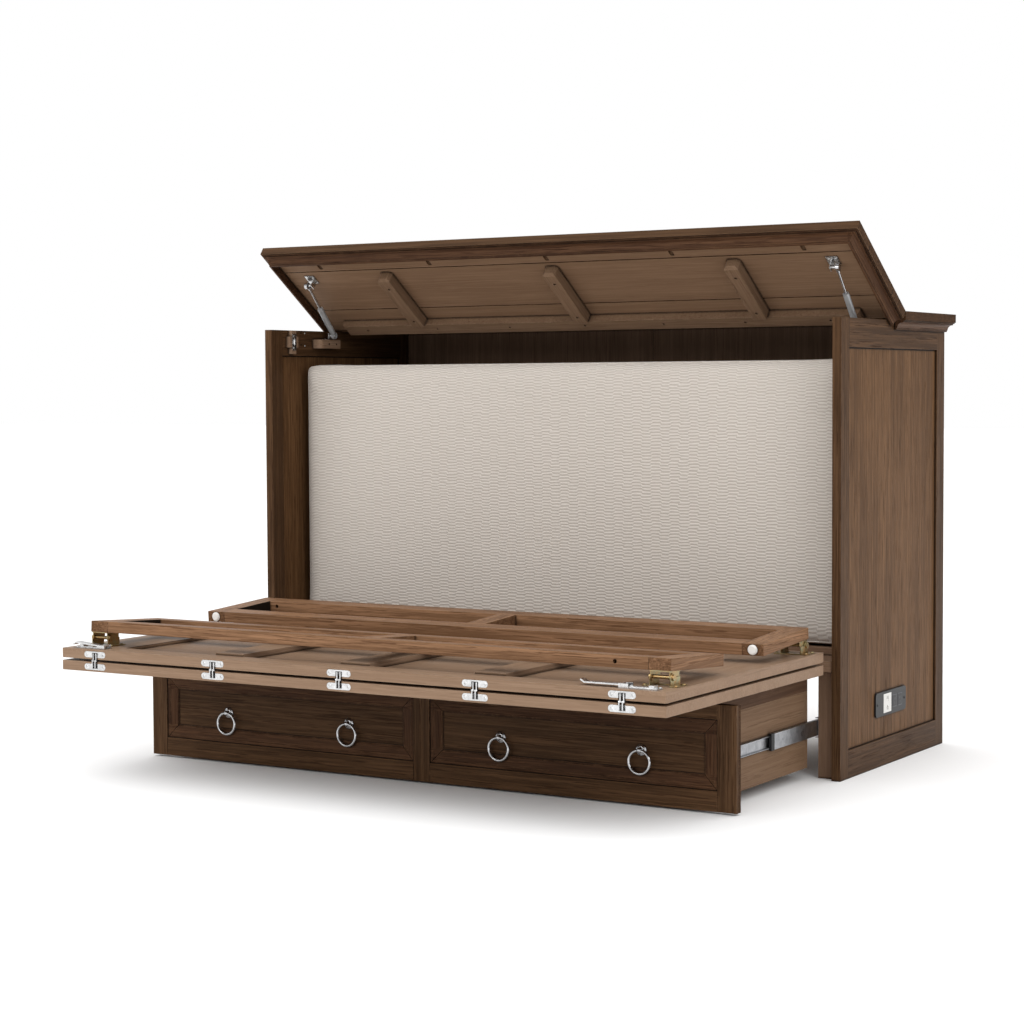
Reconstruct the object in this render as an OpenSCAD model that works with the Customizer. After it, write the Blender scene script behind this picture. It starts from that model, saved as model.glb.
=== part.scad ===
// Cabinet wall bed: a chest with a lifting lid, a fold-out platform on two leg
// frames, a pull-out drawer and a mattress folded in three.
// X runs along the width, -Y is the front where the bed folds out, Z is up.
// The bed is drawn half open: lid up, drawer out, platform down and still
// folded in two, with its leg frames lying on it.

/* [Cabinet] */
// Width over the two side frames
body_w = 1598; // [1400:1:2000]
// Depth of the side frames
body_d = 634; // [600:1:760]
// Height of the side frames
side_h = 1034; // [1000:1:1300]
// Thickness of the side frames
side_t = 21; // [18:0.5:30]
// Width of the front stile of a side frame
stile_w = 45; // [30:1:80]
// Width of the rear stile of a side frame
rear_stile_w = 49; // [30:1:80]
// Height of the top rail of a side frame
top_rail_h = 66; // [50:1:120]
// Height of the bottom rail of a side frame
bottom_rail_h = 64; // [50:1:120]
// Thickness of the sheet held in a side frame
infill_t = 10; // [4:0.5:12]
// How far the sheet sits back from the outer face
infill_sink = 5; // [3:0.5:7]
// Thickness of the back boards
back_t = 10; // [6:0.5:18]
// Height of the mattress deck's top above the floor
deck_z = 285; // [270:1:330]
// Thickness of the deck
deck_t = 18; // [12:1:25]
// Width of the boards that carry the drawer slides, from the side inwards
filler_w = 42; // [30:1:60]
// Thickness of those boards
filler_t = 18; // [15:1:25]
// Height of the rail over the drawer
rail_h = 24; // [18:1:40]
// Height of the rail's underside above the floor
rail_z = 243; // [240:1:260]

/* [Top] */
// Thickness of the top boards
top_t = 20; // [15:1:30]
// Overhang of the top past the sides and the front
top_over = 29; // [15:1:50]
// Height of the crown moulding under the top
crown_h = 22; // [12:1:40]
// Depth of the lid behind the cabinet's front
lid_d = 306; // [260:1:420]
// How far the lid stands open
lid_open = 35; // [5:1:45]
// Width of a lid batten
batten_w = 35; // [20:1:60]
// Depth of a lid batten below the lid
batten_h = 28; // [15:1:35]
// Width of the ledge along the hinge
ledge_w = 38; // [25:1:60]
// Depth of that ledge below the lid
ledge_h = 21; // [12:1:30]

/* [Platform] */
// Length of each half of the platform
panel_len = 750; // [600:1:800]
// Thickness of the edge of each half
panel_t = 22; // [18:0.5:30]
// Gap between the folded halves
fold_gap = 6; // [3:0.5:12]
// Depth of the pockets in the upper half
pocket_d = 8; // [7:0.5:10]
// Height of the upper half's cross battens above its pocket floor
cross_h = 13; // [10:0.5:14]
// Width of the cross battens
cross_w = 76; // [50:1:120]
// Width of the upper half's front and rear rails
panel_rail_w = 60; // [40:1:100]
// Width of the upper half's side stiles
panel_stile_w = 137; // [100:1:200]
// Spacing of the fold hinges, and of the cross battens over them
hinge_pitch = 340; // [250:1:345]

/* [Legs] */
// Width of a leg frame
leg_frame_w = 1504; // [1200:1:1520]
// Width of the timber in a leg frame
leg_w = 50; // [35:1:60]
// Thickness of the timber in a leg frame
leg_t = 25; // [18:1:32]
// Slope of a folded leg frame
leg_tilt = 3.6; // [0:0.1:6]
// Height of a leg's pivot off the platform
pivot_h = 18; // [17:0.5:24]
// Height of a leg's glide
glide_h = 4; // [2:0.5:8]
// Diameter of a leg's glide
glide_d = 22; // [14:1:24]

/* [Drawer] */
// How far the drawer stands open
drawer_out = 483; // [100:1:520]
// Thickness of the drawer front
front_t = 20; // [16:1:30]
// Height of the drawer front
front_h = 223; // [180:1:226]
// Gap under the drawer front
floor_gap = 5; // [3:1:15]
// Width of the drawer front's end stiles, and twice half of its middle one
front_stile_w = 44; // [30:1:80]
// Height of the drawer front's bottom rail
front_rail_h = 43; // [30:1:60]
// Height of the drawer front's top rail
front_top_h = 31; // [30:1:60]
// Width of the mitred mouldings
mould_w = 32; // [20:1:40]
// Length of the drawer box
box_len = 454; // [300:1:480]
// Height of the drawer box's sides
box_h = 173; // [120:1:190]
// Height of the drawer box above the floor
box_z = 27; // [15:1:40]
// Thickness of the drawer box's sides
box_t = 15; // [10:1:20]
// Ring pulls' distance from the middle of each half of the front
ring_x = 174; // [100:1:260]
// Radius of a ring pull, to the middle of its wire
ring_r = 25; // [15:1:30]
// Diameter of a ring pull's wire
ring_d = 6; // [3:0.5:7]

/* [Hardware] */
// Length of the drawer slides
slide_len = 457; // [300:1:480]
// Distance between drawer box and slide board
slide_gap = 13; // [12.5:0.1:16]
// Diameter of a gas strut's cylinder
strut_d = 15; // [12:1:20]
// Diameter of a gas strut's rod
rod_d = 6; // [4:0.5:8]
// Length of a gas strut's cylinder
cyl_len = 94; // [80:1:100]
// Radius of the platform hinge pins
hinge_pin_r = 2.5; // [2:0.1:3]
// Radius of the leg pivot pins
leg_pin_r = 4; // [3:0.1:5]
// Thickness of folded steel brackets
steel_t = 2; // [1.5:0.1:3]
// Length of the power outlet plate
plate_len = 184; // [120:1:220]
// Height of the power outlet plate
plate_h = 56; // [45:1:80]

/* [Mattress] */
// Width of the mattress
mattress_w = 1540; // [1200:1:1550]
// Height of the folded mattress, a third of its length
mattress_h = 667; // [500:1:690]
// Thickness of the mattress
mattress_t = 152; // [100:1:160]

/* [Hidden] */
$fn = 48;

// Colours
walnut = [0.38, 0.28, 0.20];
painted = [0.60, 0.50, 0.41];
dark = [0.24, 0.18, 0.13];
steel = [0.72, 0.73, 0.74];
zinc = [0.66, 0.56, 0.26];
black = [0.05, 0.05, 0.05];
ivory = [0.90, 0.89, 0.86];
ticking = [0.80, 0.77, 0.72];

// Clearances
gap = 1;          // a panel between the side frames, each side
fine = 0.5;       // two metal faces that pass each other
run_gap = 0.06;   // a pin in its bore, on the radius
tiny = 0.01;      // how far a cut runs past a face

in_w = body_w / 2 - side_t;          // half the clear width
panel_w = 2 * (in_w - gap);          // width of the platform
top_z = side_h + top_t;
front_face = 2;                      // closed fronts stand this far behind the sides' edges

// The platform's main pivot, in front of and below the rail over the drawer
pivot_y = -6;
pivot_z = rail_z - 8;
knuckle_r = 5;
hinge_clear = 29;                    // from the closed panel's lower edge down to the rail's top
panel_z = pivot_z + front_face - pivot_y;
closed_z = rail_z + hinge_clear;     // lower edge of the closed platform
panel_y1 = pivot_y - (closed_z - pivot_z);
panel_y0 = panel_y1 - panel_len;
upper_z = panel_z + panel_t + fold_gap;
upper_top = upper_z + panel_t;
fold_y = panel_y0 - gap;             // the fold's axis
fold_z = panel_z + panel_t + fold_gap / 2;
pocket_floor = upper_top - pocket_d;
hinge_xs = [-2 * hinge_pitch, -hinge_pitch, 0, hinge_pitch, 2 * hinge_pitch];
arm_xs = [-640, -250, 250, 640];

// Leg frames: the hinged end overhangs the pivot by leg_end
leg_end = pivot_h - (cross_h - pocket_d) - gap;   // clears the cross battens when upright
leg_len = panel_z - pivot_h + leg_end - glide_h;
leg_rise = 13;                       // timber's near face above the pivot
leg_z = upper_top + pivot_h;
front_leg_y = panel_y0 + 68 + leg_end;
rear_leg_y = panel_y1 - 23 - leg_end;
ear_x = leg_frame_w / 2 - leg_w / 2;

// The lid's hinge
lid_pin_z = top_z - 2;
lid_gap = 1.5;                       // lid to hinge axis, and axis to rear board
lid_knuckle_r = 3;
lid_hinge_xs = [-600, 0, 600];
lid_hinge_w = 80;

// Gas struts, with the lower ball fixed and the upper one on the lid
strut_x = 741;
strut_lo = [222, 1022 - 1034 + side_h];
strut_hi_closed = [89.5, side_h - 14.8];
function turn(p, a) = [p[0] * cos(a) - p[1] * sin(a), p[0] * sin(a) + p[1] * cos(a)];
lid_pin = [lid_d, lid_pin_z];
strut_hi = lid_pin + turn(strut_hi_closed - lid_pin, -lid_open);
strut_v = strut_hi - strut_lo;
strut_len = norm(strut_v);
strut_a = atan2(strut_v[1], strut_v[0]);
ball_r = 5;
eye_r = 9;
eye_bore_r = ball_r + 2;

// Drawer
drawer_y = front_face - 1 - drawer_out;       // outer face of the drawer front
drawer_w = panel_w;
front_z = floor_gap;
front_top = floor_gap + front_h;
face_t = 8;                                   // stiles and rails applied on the front's core
mould_sink = 2;
core_y = drawer_y + face_t;
box_w = in_w - filler_w - slide_gap;          // half the box's width
box_y = drawer_y + front_t;
open_z0 = front_z + front_rail_h;
open_z1 = front_top - front_top_h;
half_x0 = front_stile_w / 2;
half_x1 = drawer_w / 2 - front_stile_w;
half_mid = (half_x0 + half_x1) / 2;
slide_z = box_z + box_h / 2;
filler_y = front_face - 1 + front_t + 2;
slide_y = filler_y + 2;
ring_xs = [-half_mid - ring_x, -half_mid + ring_x, half_mid - ring_x, half_mid + ring_x];
ring_z = (open_z0 + open_z1) / 2 - 3.5;
ring_y = core_y - 10;
eye_wall_r = 5.5;

// Mattress
mattress_y = 112;
mattress_gap = 1;

// Fittings inside the side frames
lid_rest = 0.4;
catch_y = 62;
block_y = 176;
block_len = 88;
block_t = 27;
block_z = side_h - 46;
block_h = 23;
plate_y = 209;
plate_z = 116;

module in_frame() translate([0, (fold_reach - panel_y0 - body_d) / 2, 0]) children();

module box(lo, hi) translate(lo) cube(hi - lo);

module both() {
    children();
    mirror([1, 0, 0]) children();
}

module along_x(x0, x1, r) translate([x0, 0, 0]) rotate([0, 90, 0]) cylinder(r = r, h = x1 - x0);

module slot_2d(len, h) {
    square([len - h, h], center = true);
    for (s = [-1, 1]) translate([s * (len - h) / 2, 0]) circle(d = h);
}

module lid_pose() {
    translate([0, lid_pin[0], lid_pin[1]])
        rotate([-lid_open, 0, 0])
            translate([0, -lid_pin[0], -lid_pin[1]]) children();
}

// ---- Cabinet ----

// One side frame: two stiles and two rails round a grooved opening
module side_frame() {
    groove = 8;
    difference() {
        box([in_w, 0, 0], [body_w / 2, body_d, side_h]);
        box([in_w - 1, stile_w, bottom_rail_h],
            [body_w / 2 + 1, body_d - rear_stile_w, side_h - top_rail_h]);
        box([body_w / 2 - infill_sink - infill_t, stile_w - groove, bottom_rail_h - groove],
            [body_w / 2 - infill_sink, body_d - rear_stile_w + groove, side_h - top_rail_h + groove]);
        // room under the closed lid for its bumpers
        box([in_w - 1, -1, side_h - lid_rest], [body_w / 2 + 1, lid_d + 1, side_h + 1]);
        // pocket holes for the screws that hold the fittings
        for (z = [side_h - 6, side_h - 38])
            translate([0, 126, z]) along_x(in_w - 1, in_w + 8, 2.5);
    }
}
module side_frames() color(walnut) both() side_frame();

module outlet_hole(slack) {
    translate([body_w / 2 - 40, plate_y + plate_len / 2, plate_z + plate_h / 2])
        rotate([0, 90, 0])
            linear_extrude(60)
                square([plate_h - 14 + 2 * slack, plate_len - 14 + 2 * slack], center = true);
}
module infill() {
    tongue = 7;
    box([body_w / 2 - infill_sink - infill_t, stile_w - tongue, bottom_rail_h - tongue],
        [body_w / 2 - infill_sink, body_d - rear_stile_w + tongue, side_h - top_rail_h + tongue]);
}
module side_infills() color(walnut) {
    mirror([1, 0, 0]) infill();
    difference() {
        infill();
        outlet_hole(fine);
    }
}

module back_panel() color(dark) both()
    box([0.5, body_d - back_t, rail_z], [in_w, body_d, side_h]);

// Crown moulding: a bead, a cove and two steps, as distance out and height
cove_r = crown_h * 0.55;
crown_outline = concat(
    [[gap + 0.5, 0], [6, 0], [6, 3], [8, 4]],
    [for (a = [0:15:90]) [8 + cove_r * (1 - cos(a)), 4 + cove_r * sin(a)]],
    [[top_over - 7, 4 + cove_r], [top_over - 7, crown_h - 2.5],
     [top_over - 3, crown_h - 2.5], [top_over - 3, crown_h], [gap + 0.5, crown_h]]);

module crown_side(y0, y1, mitred) intersection() {
    translate([body_w / 2, y1, side_h - crown_h]) rotate([90, 0, 0])
        linear_extrude(y1 - y0) polygon(crown_outline);
    linear_extrude(side_h + 10) polygon([[body_w / 2, mitred ? 0 : y0],
        [body_w / 2 + 60, mitred ? -60 : y0], [body_w / 2 + 60, y1], [body_w / 2, y1]]);
}
module crown_front() intersection() {
    translate([-body_w, 0, side_h - crown_h]) rotate([90, 0, 90])
        linear_extrude(2 * body_w) polygon([for (p = crown_outline) [-p[0], p[1]]]);
    linear_extrude(side_h + 10) polygon([[-body_w / 2, 0], [body_w / 2, 0],
        [body_w / 2 + 60, -60], [-body_w / 2 - 60, -60]]);
}

module hinge_notches(y0, y1) for (x = lid_hinge_xs)
    box([x - lid_hinge_w / 2 - gap, y0, side_h - 1], [x + lid_hinge_w / 2 + gap, y1, top_z + 1]);

module top_rear_board() color(walnut) difference() {
    box([-body_w / 2 - top_over, lid_d + lid_gap, side_h], [body_w / 2 + top_over, body_d, top_z]);
    hinge_notches(lid_d, lid_d + lid_gap + 4);
}
module rear_crown() color(walnut) both() crown_side(lid_d + lid_gap, body_d, false);

// Rail over the drawer with a shelf behind it, under the folded platform
shelf_t = 18;
deck_y = mattress_y + 2;
module front_rail() color(dark) {
    box([-in_w, front_face + 4, rail_z], [in_w, front_face + 22, rail_z + rail_h]);
    box([-in_w, front_face + 22, rail_z + rail_h - shelf_t], [in_w, deck_y + 18, rail_z + rail_h]);
}
module deck() color(dark)
    box([-in_w, deck_y, rail_z + rail_h], [in_w, body_d - back_t, deck_z]);
module deck_cleats() color(dark) {
    both() box([in_w - 21, deck_y + 18, rail_z], [in_w, body_d - back_t - 24, rail_z + rail_h]);
    box([-in_w, body_d - back_t - 24, rail_z], [in_w, body_d - back_t, rail_z + rail_h]);
}

module drawer_fillers() color(dark) both() {
    box([in_w - filler_w, filler_y, 0], [in_w - filler_w + filler_t, body_d - 34, rail_z]);
    box([in_w - filler_w, filler_y, 0], [in_w, filler_y + 20, rail_z]);
    box([in_w - filler_w, body_d - 54, 0], [in_w, body_d - 34, rail_z]);
}

// A rolled channel of a drawer slide, open towards the middle of the bed
slide_x = in_w - filler_w;
module channel(x1, depth, h, wall, y0, len) {
    translate([0, y0, slide_z]) {
        box([x1 - wall, 0, -h / 2], [x1, len, h / 2]);
        for (s = [-1, 1])
            translate([x1 - depth, 0, s * (h - wall) / 2 - wall / 2]) cube([depth, len, wall]);
    }
}
module slide_outers() color(steel) both() channel(slide_x, 9, 45, 1.2, slide_y, slide_len);
module slide_middle_right() color(steel)
    channel(slide_x - 2.2, 8, 35, 1.2, slide_y - drawer_out / 2, slide_len);
module slide_middle_left() mirror([1, 0, 0]) slide_middle_right();
module slide_inners() color(steel) both()
    translate([2 * box_w, 0, 0]) mirror([1, 0, 0])
        channel(box_w, 7, 27, 1.2, box_y + 2, box_len - 4);

// Blocks that the gas struts stand on, with round front ends
module strut_blocks() color(painted) both() translate([in_w, block_y, block_z])
    difference() {
        union() {
            translate([-block_t / 2, block_t / 2, 0]) cylinder(d = block_t, h = block_h);
            translate([-block_t, block_t / 2, 0]) cube([block_t, block_len - block_t / 2, block_h]);
            translate([-block_t / 2, 0, 0]) cube([block_t / 2, block_t, block_h]);
        }
        for (y = [38, 70]) translate([0, y, block_h / 2]) along_x(-block_t - 1, -block_t + 8, 2.5);
    }

ball_x = strut_x;
module ball_stud(base_x) {
    translate([ball_x, 0, 0]) sphere(r = ball_r - 0.6);
    along_x(min(base_x, ball_x), max(base_x, ball_x), 2.5);
}
module strut_lower_brackets() color(steel) both() {
    z0 = block_z + block_h;
    box([in_w - 24, strut_lo[0] - 14, z0], [in_w - 3, strut_lo[0] + 14, z0 + steel_t]);
    box([in_w - 24, strut_lo[0] - 7, z0], [in_w - 24 + steel_t, strut_lo[0] + 7, strut_lo[1] + 6]);
    translate([0, strut_lo[0], strut_lo[1]]) ball_stud(in_w - 23);
}

// Cross-shaped blocks on the side frames, for the catches that hold the closed platform
catch_t = 12;
module catch_blocks() color(painted) both() {
    difference() {
        union() {
            box([in_w - catch_t, catch_y + 9, side_h - 62], [in_w, catch_y + 27, side_h - 1]);
            box([in_w - catch_t, catch_y, side_h - 45], [in_w, catch_y + 36, side_h - 17]);
        }
        // pocket behind the roller
        box([in_w - catch_t - 1, catch_y + 13, side_h - 41], [in_w - catch_t + 5, catch_y + 23, side_h - 21]);
    }
}
// Roller catches: a windowed plate, two screws and a roller on its axle
module roller_catches() color(steel) both()
    translate([in_w - catch_t, catch_y + 18, side_h - 31]) {
        difference() {
            box([-1.2, -8, -21], [0, 8, 21]);
            box([-3, -5, -8], [1, 5, 8]);
        }
        for (z = [-15, 15]) translate([0, 0, z]) along_x(-2.6, -1.2, 3.2);
        translate([-0.6, 0, -6.5]) cylinder(r = 4, h = 13);
        translate([-0.6, 0, -9]) cylinder(r = 1.2, h = 18);
    }

module power_plate() color(black) {
    r = 8;
    translate([body_w / 2 - infill_sink, plate_y + plate_len / 2, plate_z + plate_h / 2]) rotate([90, 0, 90]) {
        difference() {
            linear_extrude(4) {
                square([plate_len, plate_h - 2 * r], center = true);
                square([plate_len - 2 * r, plate_h], center = true);
                for (sx = [-1, 1], sy = [-1, 1])
                    translate([sx * (plate_len / 2 - r), sy * (plate_h / 2 - r)]) circle(r = r);
            }
            translate([-plate_len / 2 + 46, -22, 1]) cube([46, 44, 4]);
        }
        translate([-(plate_len - 16) / 2, -(plate_h - 16) / 2, -22])
            cube([plate_len - 16, plate_h - 16, 22]);
    }
}
// One receptacle with two slots and a round earth hole, seated in the plate
module power_sockets() color(ivory)
    translate([body_w / 2 - infill_sink + 1, plate_y + 46, plate_z + plate_h / 2]) rotate([90, 0, 90])
        difference() {
            translate([0, -22, 0]) cube([46, 44, 3.6]);
            for (x = [17, 29]) translate([x - 1, 2, 1]) cube([2, 9, 4]);
            translate([23, -8, 1]) cylinder(r = 3, h = 4);
        }

// ---- Platform hinges ----
arm_w = 24;
bracket_w = 60;
module platform_hinge_brackets() color(steel) for (x = arm_xs) translate([x, 0, 0]) {
    box([-bracket_w / 2, front_face + 2.5, pivot_z - 4], [bracket_w / 2, front_face + 4, rail_z + 22]);
    for (s = [-1, 1]) translate([s * (arm_w / 2 + fine + 8.5), 0, 0]) {
        translate([0, pivot_y, pivot_z]) along_x(-8.5, 8.5, knuckle_r);
        box([-8.5, pivot_y, pivot_z - 4], [8.5, front_face + 3, pivot_z + 4]);
    }
    translate([0, pivot_y, pivot_z]) along_x(-bracket_w / 2, bracket_w / 2, hinge_pin_r);
}
module platform_hinge_arms() color(steel) for (x = arm_xs) translate([x, 0, 0]) difference() {
    union() {
        translate([0, pivot_y, pivot_z]) along_x(-arm_w / 2, arm_w / 2, knuckle_r);
        box([-arm_w / 2, pivot_y - 4, pivot_z], [arm_w / 2, pivot_y + 2, panel_z + steel_t]);
        box([-arm_w / 2, panel_y1 - 47, panel_z], [arm_w / 2, pivot_y, panel_z + steel_t]);
    }
    translate([0, pivot_y, pivot_z]) along_x(-arm_w, arm_w, hinge_pin_r + run_gap);
}
module arm_mortises() for (x = arm_xs)
    box([x - arm_w / 2 - fine, panel_y1 - 47.5, panel_z - 1],
        [x + arm_w / 2 + fine, panel_y1 + 1, panel_z + steel_t + 0.3]);

// ---- Lid ----
module lid_hinge_fixed() color(steel) for (x = lid_hinge_xs) translate([x, 0, 0]) {
    box([-lid_hinge_w / 2, lid_d + 4, side_h + 1], [lid_hinge_w / 2, lid_d + 5.5, lid_pin_z]);
    for (s = [-1, 1]) translate([s * (lid_hinge_w / 2 - 12), lid_d, lid_pin_z]) {
        along_x(-12, 12, lid_knuckle_r);
        box([-12, 0, -lid_knuckle_r], [12, 5, 0]);
    }
    translate([0, lid_d, lid_pin_z]) along_x(-lid_hinge_w / 2, lid_hinge_w / 2, 1.5);
}
module lid_hinge_leaves() color(steel) lid_pose() for (x = lid_hinge_xs) translate([x, 0, 0])
    difference() {
        union() {
            box([-lid_hinge_w / 2, lid_d - 5.5, side_h + 1], [lid_hinge_w / 2, lid_d - 4, lid_pin_z]);
            translate([0, lid_d, lid_pin_z]) {
                along_x(-15, 15, lid_knuckle_r);
                box([-15, -5, -lid_knuckle_r], [15, 0, 0]);
            }
        }
        translate([0, lid_d, lid_pin_z]) along_x(-20, 20, 1.5 + run_gap);
    }

groove_w = 3;
module lid_board() color(painted) lid_pose() difference() {
    box([-body_w / 2 - top_over, -top_over, side_h], [body_w / 2 + top_over, lid_d - lid_gap, top_z]);
    hinge_notches(lid_d - lid_gap - 4, lid_d);
    // plank joints, stopped short of the ends
    for (d = [92, 256]) box([-752, lid_d - d, side_h - 1], [752, lid_d - d + groove_w, side_h + 2]);
    // pocket holes for the screws that hold the crown
    for (x = [-675, -340, 0, 340, 675])
        translate([x, 34, side_h]) rotate([65, 0, 0]) translate([0, 0, -8]) cylinder(r = 6, h = 30);
}
module lid_crown() color(walnut) lid_pose() {
    both() crown_side(-top_over, lid_d - lid_gap, true);
    crown_front();
}
module lid_battens() color(painted) lid_pose() {
    ledge_y = lid_d - 6;
    // cross battens, chamfered at the front end
    for (x = [-487, 0, 487]) difference() {
        intersection() {
            translate([x, 63, side_h - batten_h]) linear_extrude(batten_h)
                polygon([[-batten_w / 2, 6], [6 - batten_w / 2, 0], [batten_w / 2 - 6, 0], [batten_w / 2, 6],
                         [batten_w / 2, ledge_y - ledge_w - 63], [-batten_w / 2, ledge_y - ledge_w - 63]]);
            translate([x, 63, side_h - batten_h]) rotate([90, 0, 90]) linear_extrude(batten_w, center = true)
                polygon([[0, 6], [6, 0], [400, 0], [400, batten_h], [0, batten_h]]);
        }
        for (y = [102, 238]) translate([x, y, side_h - batten_h - 1]) cylinder(r = 4, h = 14);
    }
    // ledge along the hinge, with chamfered ends
    difference() {
        translate([0, ledge_y, side_h - ledge_h]) rotate([90, 0, 0]) linear_extrude(ledge_w)
            polygon([[-727, 0], [727, 0], [735, 8], [735, ledge_h], [-735, ledge_h], [-735, 8]]);
        for (x = [-660:220:660])
            translate([x, ledge_y - ledge_w / 2, side_h - ledge_h - 1]) cylinder(r = 3.5, h = 12);
    }
}
module lid_strut_brackets() color(steel) lid_pose() both() {
    y = strut_hi_closed[0];
    box([strut_x - 24, y - 22, side_h - steel_t], [strut_x + 4, y + 8, side_h]);
    box([strut_x - 14 - steel_t, y - 8, strut_hi_closed[1] - 6], [strut_x - 14, y + 8, side_h]);
    translate([0, y, strut_hi_closed[1]]) {
        translate([strut_x - 5.5, 0, 0]) sphere(r = ball_r - 0.6);
        along_x(strut_x - 15, strut_x - 5.5, 2.5);
    }
}

// ---- Gas struts: drawn along +Y from the lower ball, then tilted ----
module strut_pose() translate([strut_x, strut_lo[0], strut_lo[1]]) rotate([strut_a, 0, 0]) children();
module ball_eye(y) translate([0, y, 0]) difference() {
    translate([-4, 0, 0]) rotate([0, 90, 0]) cylinder(r = eye_r, h = 8);
    translate([-5, 0, 0]) rotate([0, 90, 0]) cylinder(r = eye_bore_r, h = 10);
}
module strut_cylinder_right() color(steel) strut_pose() {
    ball_eye(0);
    difference() {
        translate([0, eye_r - 1, 0]) rotate([-90, 0, 0]) cylinder(d = strut_d, h = cyl_len - eye_r);
        translate([0, eye_r + 4, 0]) rotate([-90, 0, 0]) cylinder(d = rod_d + 1, h = cyl_len);
    }
}
module strut_cylinder_left() mirror([1, 0, 0]) strut_cylinder_right();
rod_inside = 24;
module strut_rod_right() color(steel) strut_pose() {
    // a socket beside the lid's ball, which it passes with play
    translate([-0.5, strut_len, 0]) rotate([0, 90, 0]) cylinder(r = eye_r, h = 7.5);
    translate([0, cyl_len - rod_inside, 0]) rotate([-90, 0, 0])
        cylinder(d = rod_d, h = strut_len - eye_r + 1 - cyl_len + rod_inside);
    translate([0, strut_len - eye_r - 5, 0]) rotate([-90, 0, 0]) cylinder(d = 9, h = 6);
}
module strut_rod_left() mirror([1, 0, 0]) strut_rod_right();

// ---- Fold hinges: a let-in plate and a knuckle arm on each half ----
cup_w = 62;
cup_h = 14;
cup_depth = 16;
cup_z = panel_t / 2;
notch_w = 16;
fold_reach = 3;      // how far the fold's links stand past the panels' edges
module cup_solid(slack) {
    rotate([-90, 0, 0]) linear_extrude(2.5 + slack) slot_2d(cup_w + 2 * slack, cup_h + 2 * slack);
    translate([-20 - slack, 0, -cup_h / 2 + 1 - slack])
        cube([40 + 2 * slack, cup_depth + slack, cup_h - 2 + 2 * slack]);
}
link_t = 2.5;
fold_pin_r = 1.2;
fold_lobe_r = 2.6;
// Drawn for the lower half; the upper half's is its mirror image about the fold,
// with its links moved over by one link's thickness
module fold_cup() difference() {
    translate([0, panel_y0, panel_z + cup_z]) cup_solid(0);
    box([-notch_w / 2, panel_y0 - 1, panel_z + cup_z - 4],
        [notch_w / 2, panel_y0 + 12, panel_z + panel_t]);
    for (s = [-1, 1]) translate([s * 24, panel_y0 - 1, panel_z + cup_z])
        rotate([-90, 0, 0]) cylinder(r = 2, h = 3);
}
module fold_links(x0, bored) for (x = [x0, x0 - 8]) difference() {
    union() {
        box([x, panel_y0 - fold_reach, panel_z + cup_z - 3],
            [x + link_t, panel_y0 + 12.5, panel_z + cup_z + 3]);
        box([x, panel_y0 - fold_reach, panel_z + cup_z - 3], [x + link_t, panel_y0 + 4, fold_z]);
        translate([0, fold_y, fold_z]) along_x(x, x + link_t, fold_lobe_r);
    }
    if (bored) translate([0, fold_y, fold_z]) along_x(x - 1, x + 4, fold_pin_r + run_gap);
}
module fold_hinge() {
    fold_cup();
    fold_links(1.5, false);
    translate([0, fold_y, fold_z]) along_x(-6.5, 7.3, fold_pin_r);
}
module fold_mortises() for (x = hinge_xs) translate([x, 0, 0]) {
    translate([0, panel_y0 - tiny, panel_z + cup_z]) cup_solid(0.2);
    box([-notch_w / 2, panel_y0 - 1, panel_z + cup_z], [notch_w / 2, panel_y0 + 12, panel_z + panel_t + 1]);
}
module to_upper() translate([0, 0, 2 * fold_z]) mirror([0, 0, 1]) children();
module fold_hinges_lower() color(steel) for (x = hinge_xs) translate([x, 0, 0]) fold_hinge();
module fold_hinges_upper() color(steel) for (x = hinge_xs) translate([x, 0, 0]) to_upper() {
    fold_cup();
    fold_links(1.5 + link_t + 0.3, true);
}

// ---- Lower half: the closed bed's front ----
lip = 3.5;
face_h = 4;
module lower_panel() color(painted) difference() {
    box([-panel_w / 2, panel_y0, panel_z], [panel_w / 2, panel_y1, panel_z + panel_t]);
    box([-panel_w / 2 + lip, panel_y0 + lip, panel_z - 1],
        [panel_w / 2 - lip, panel_y1 - lip, panel_z + face_h]);
    arm_mortises();
    fold_mortises();
}
// Framed sheets on the underside, which show when the bed is closed
face_rows = 3;
module lower_panel_face() color(walnut) {
    y0 = panel_y0 + lip;
    y1 = panel_y1 - lip;
    row = (y1 - y0 - front_stile_w) / face_rows;
    difference() {
        box([-panel_w / 2 + lip, y0, panel_z], [panel_w / 2 - lip, y1, panel_z + face_h]);
        for (s = [-1, 1], r = [0:face_rows - 1]) {
            a = [s * half_mid - (half_x1 - half_x0) / 2, y0 + front_stile_w + r * row];
            b = [s * half_mid + (half_x1 - half_x0) / 2, y0 + (r + 1) * row];
            box([a[0], a[1], panel_z - 1], [b[0], b[1], panel_z + 1]);
            box([a[0] + mould_w, a[1] + mould_w, panel_z - 1], [b[0] - mould_w, b[1] - mould_w, panel_z + 3]);
        }
        arm_mortises();
    }
}

// ---- Upper half ----
module upper_panel() color(painted) difference() {
    // the border is wide enough for the leg brackets to stand on it
    pocket_x = min(panel_w / 2 - panel_stile_w, ear_x - 60);
    box([-panel_w / 2, panel_y0, upper_z], [panel_w / 2, panel_y1, upper_top]);
    box([-pocket_x, panel_y0 + panel_rail_w, pocket_floor],
        [pocket_x, panel_y1 - panel_rail_w, upper_top + 1]);
    to_upper() fold_mortises();
}
module upper_panel_battens() color(painted) for (x = [-hinge_pitch, 0, hinge_pitch])
    box([x - cross_w / 2, panel_y0 + panel_rail_w, pocket_floor],
        [x + cross_w / 2, panel_y1 - panel_rail_w, pocket_floor + cross_h]);

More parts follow.
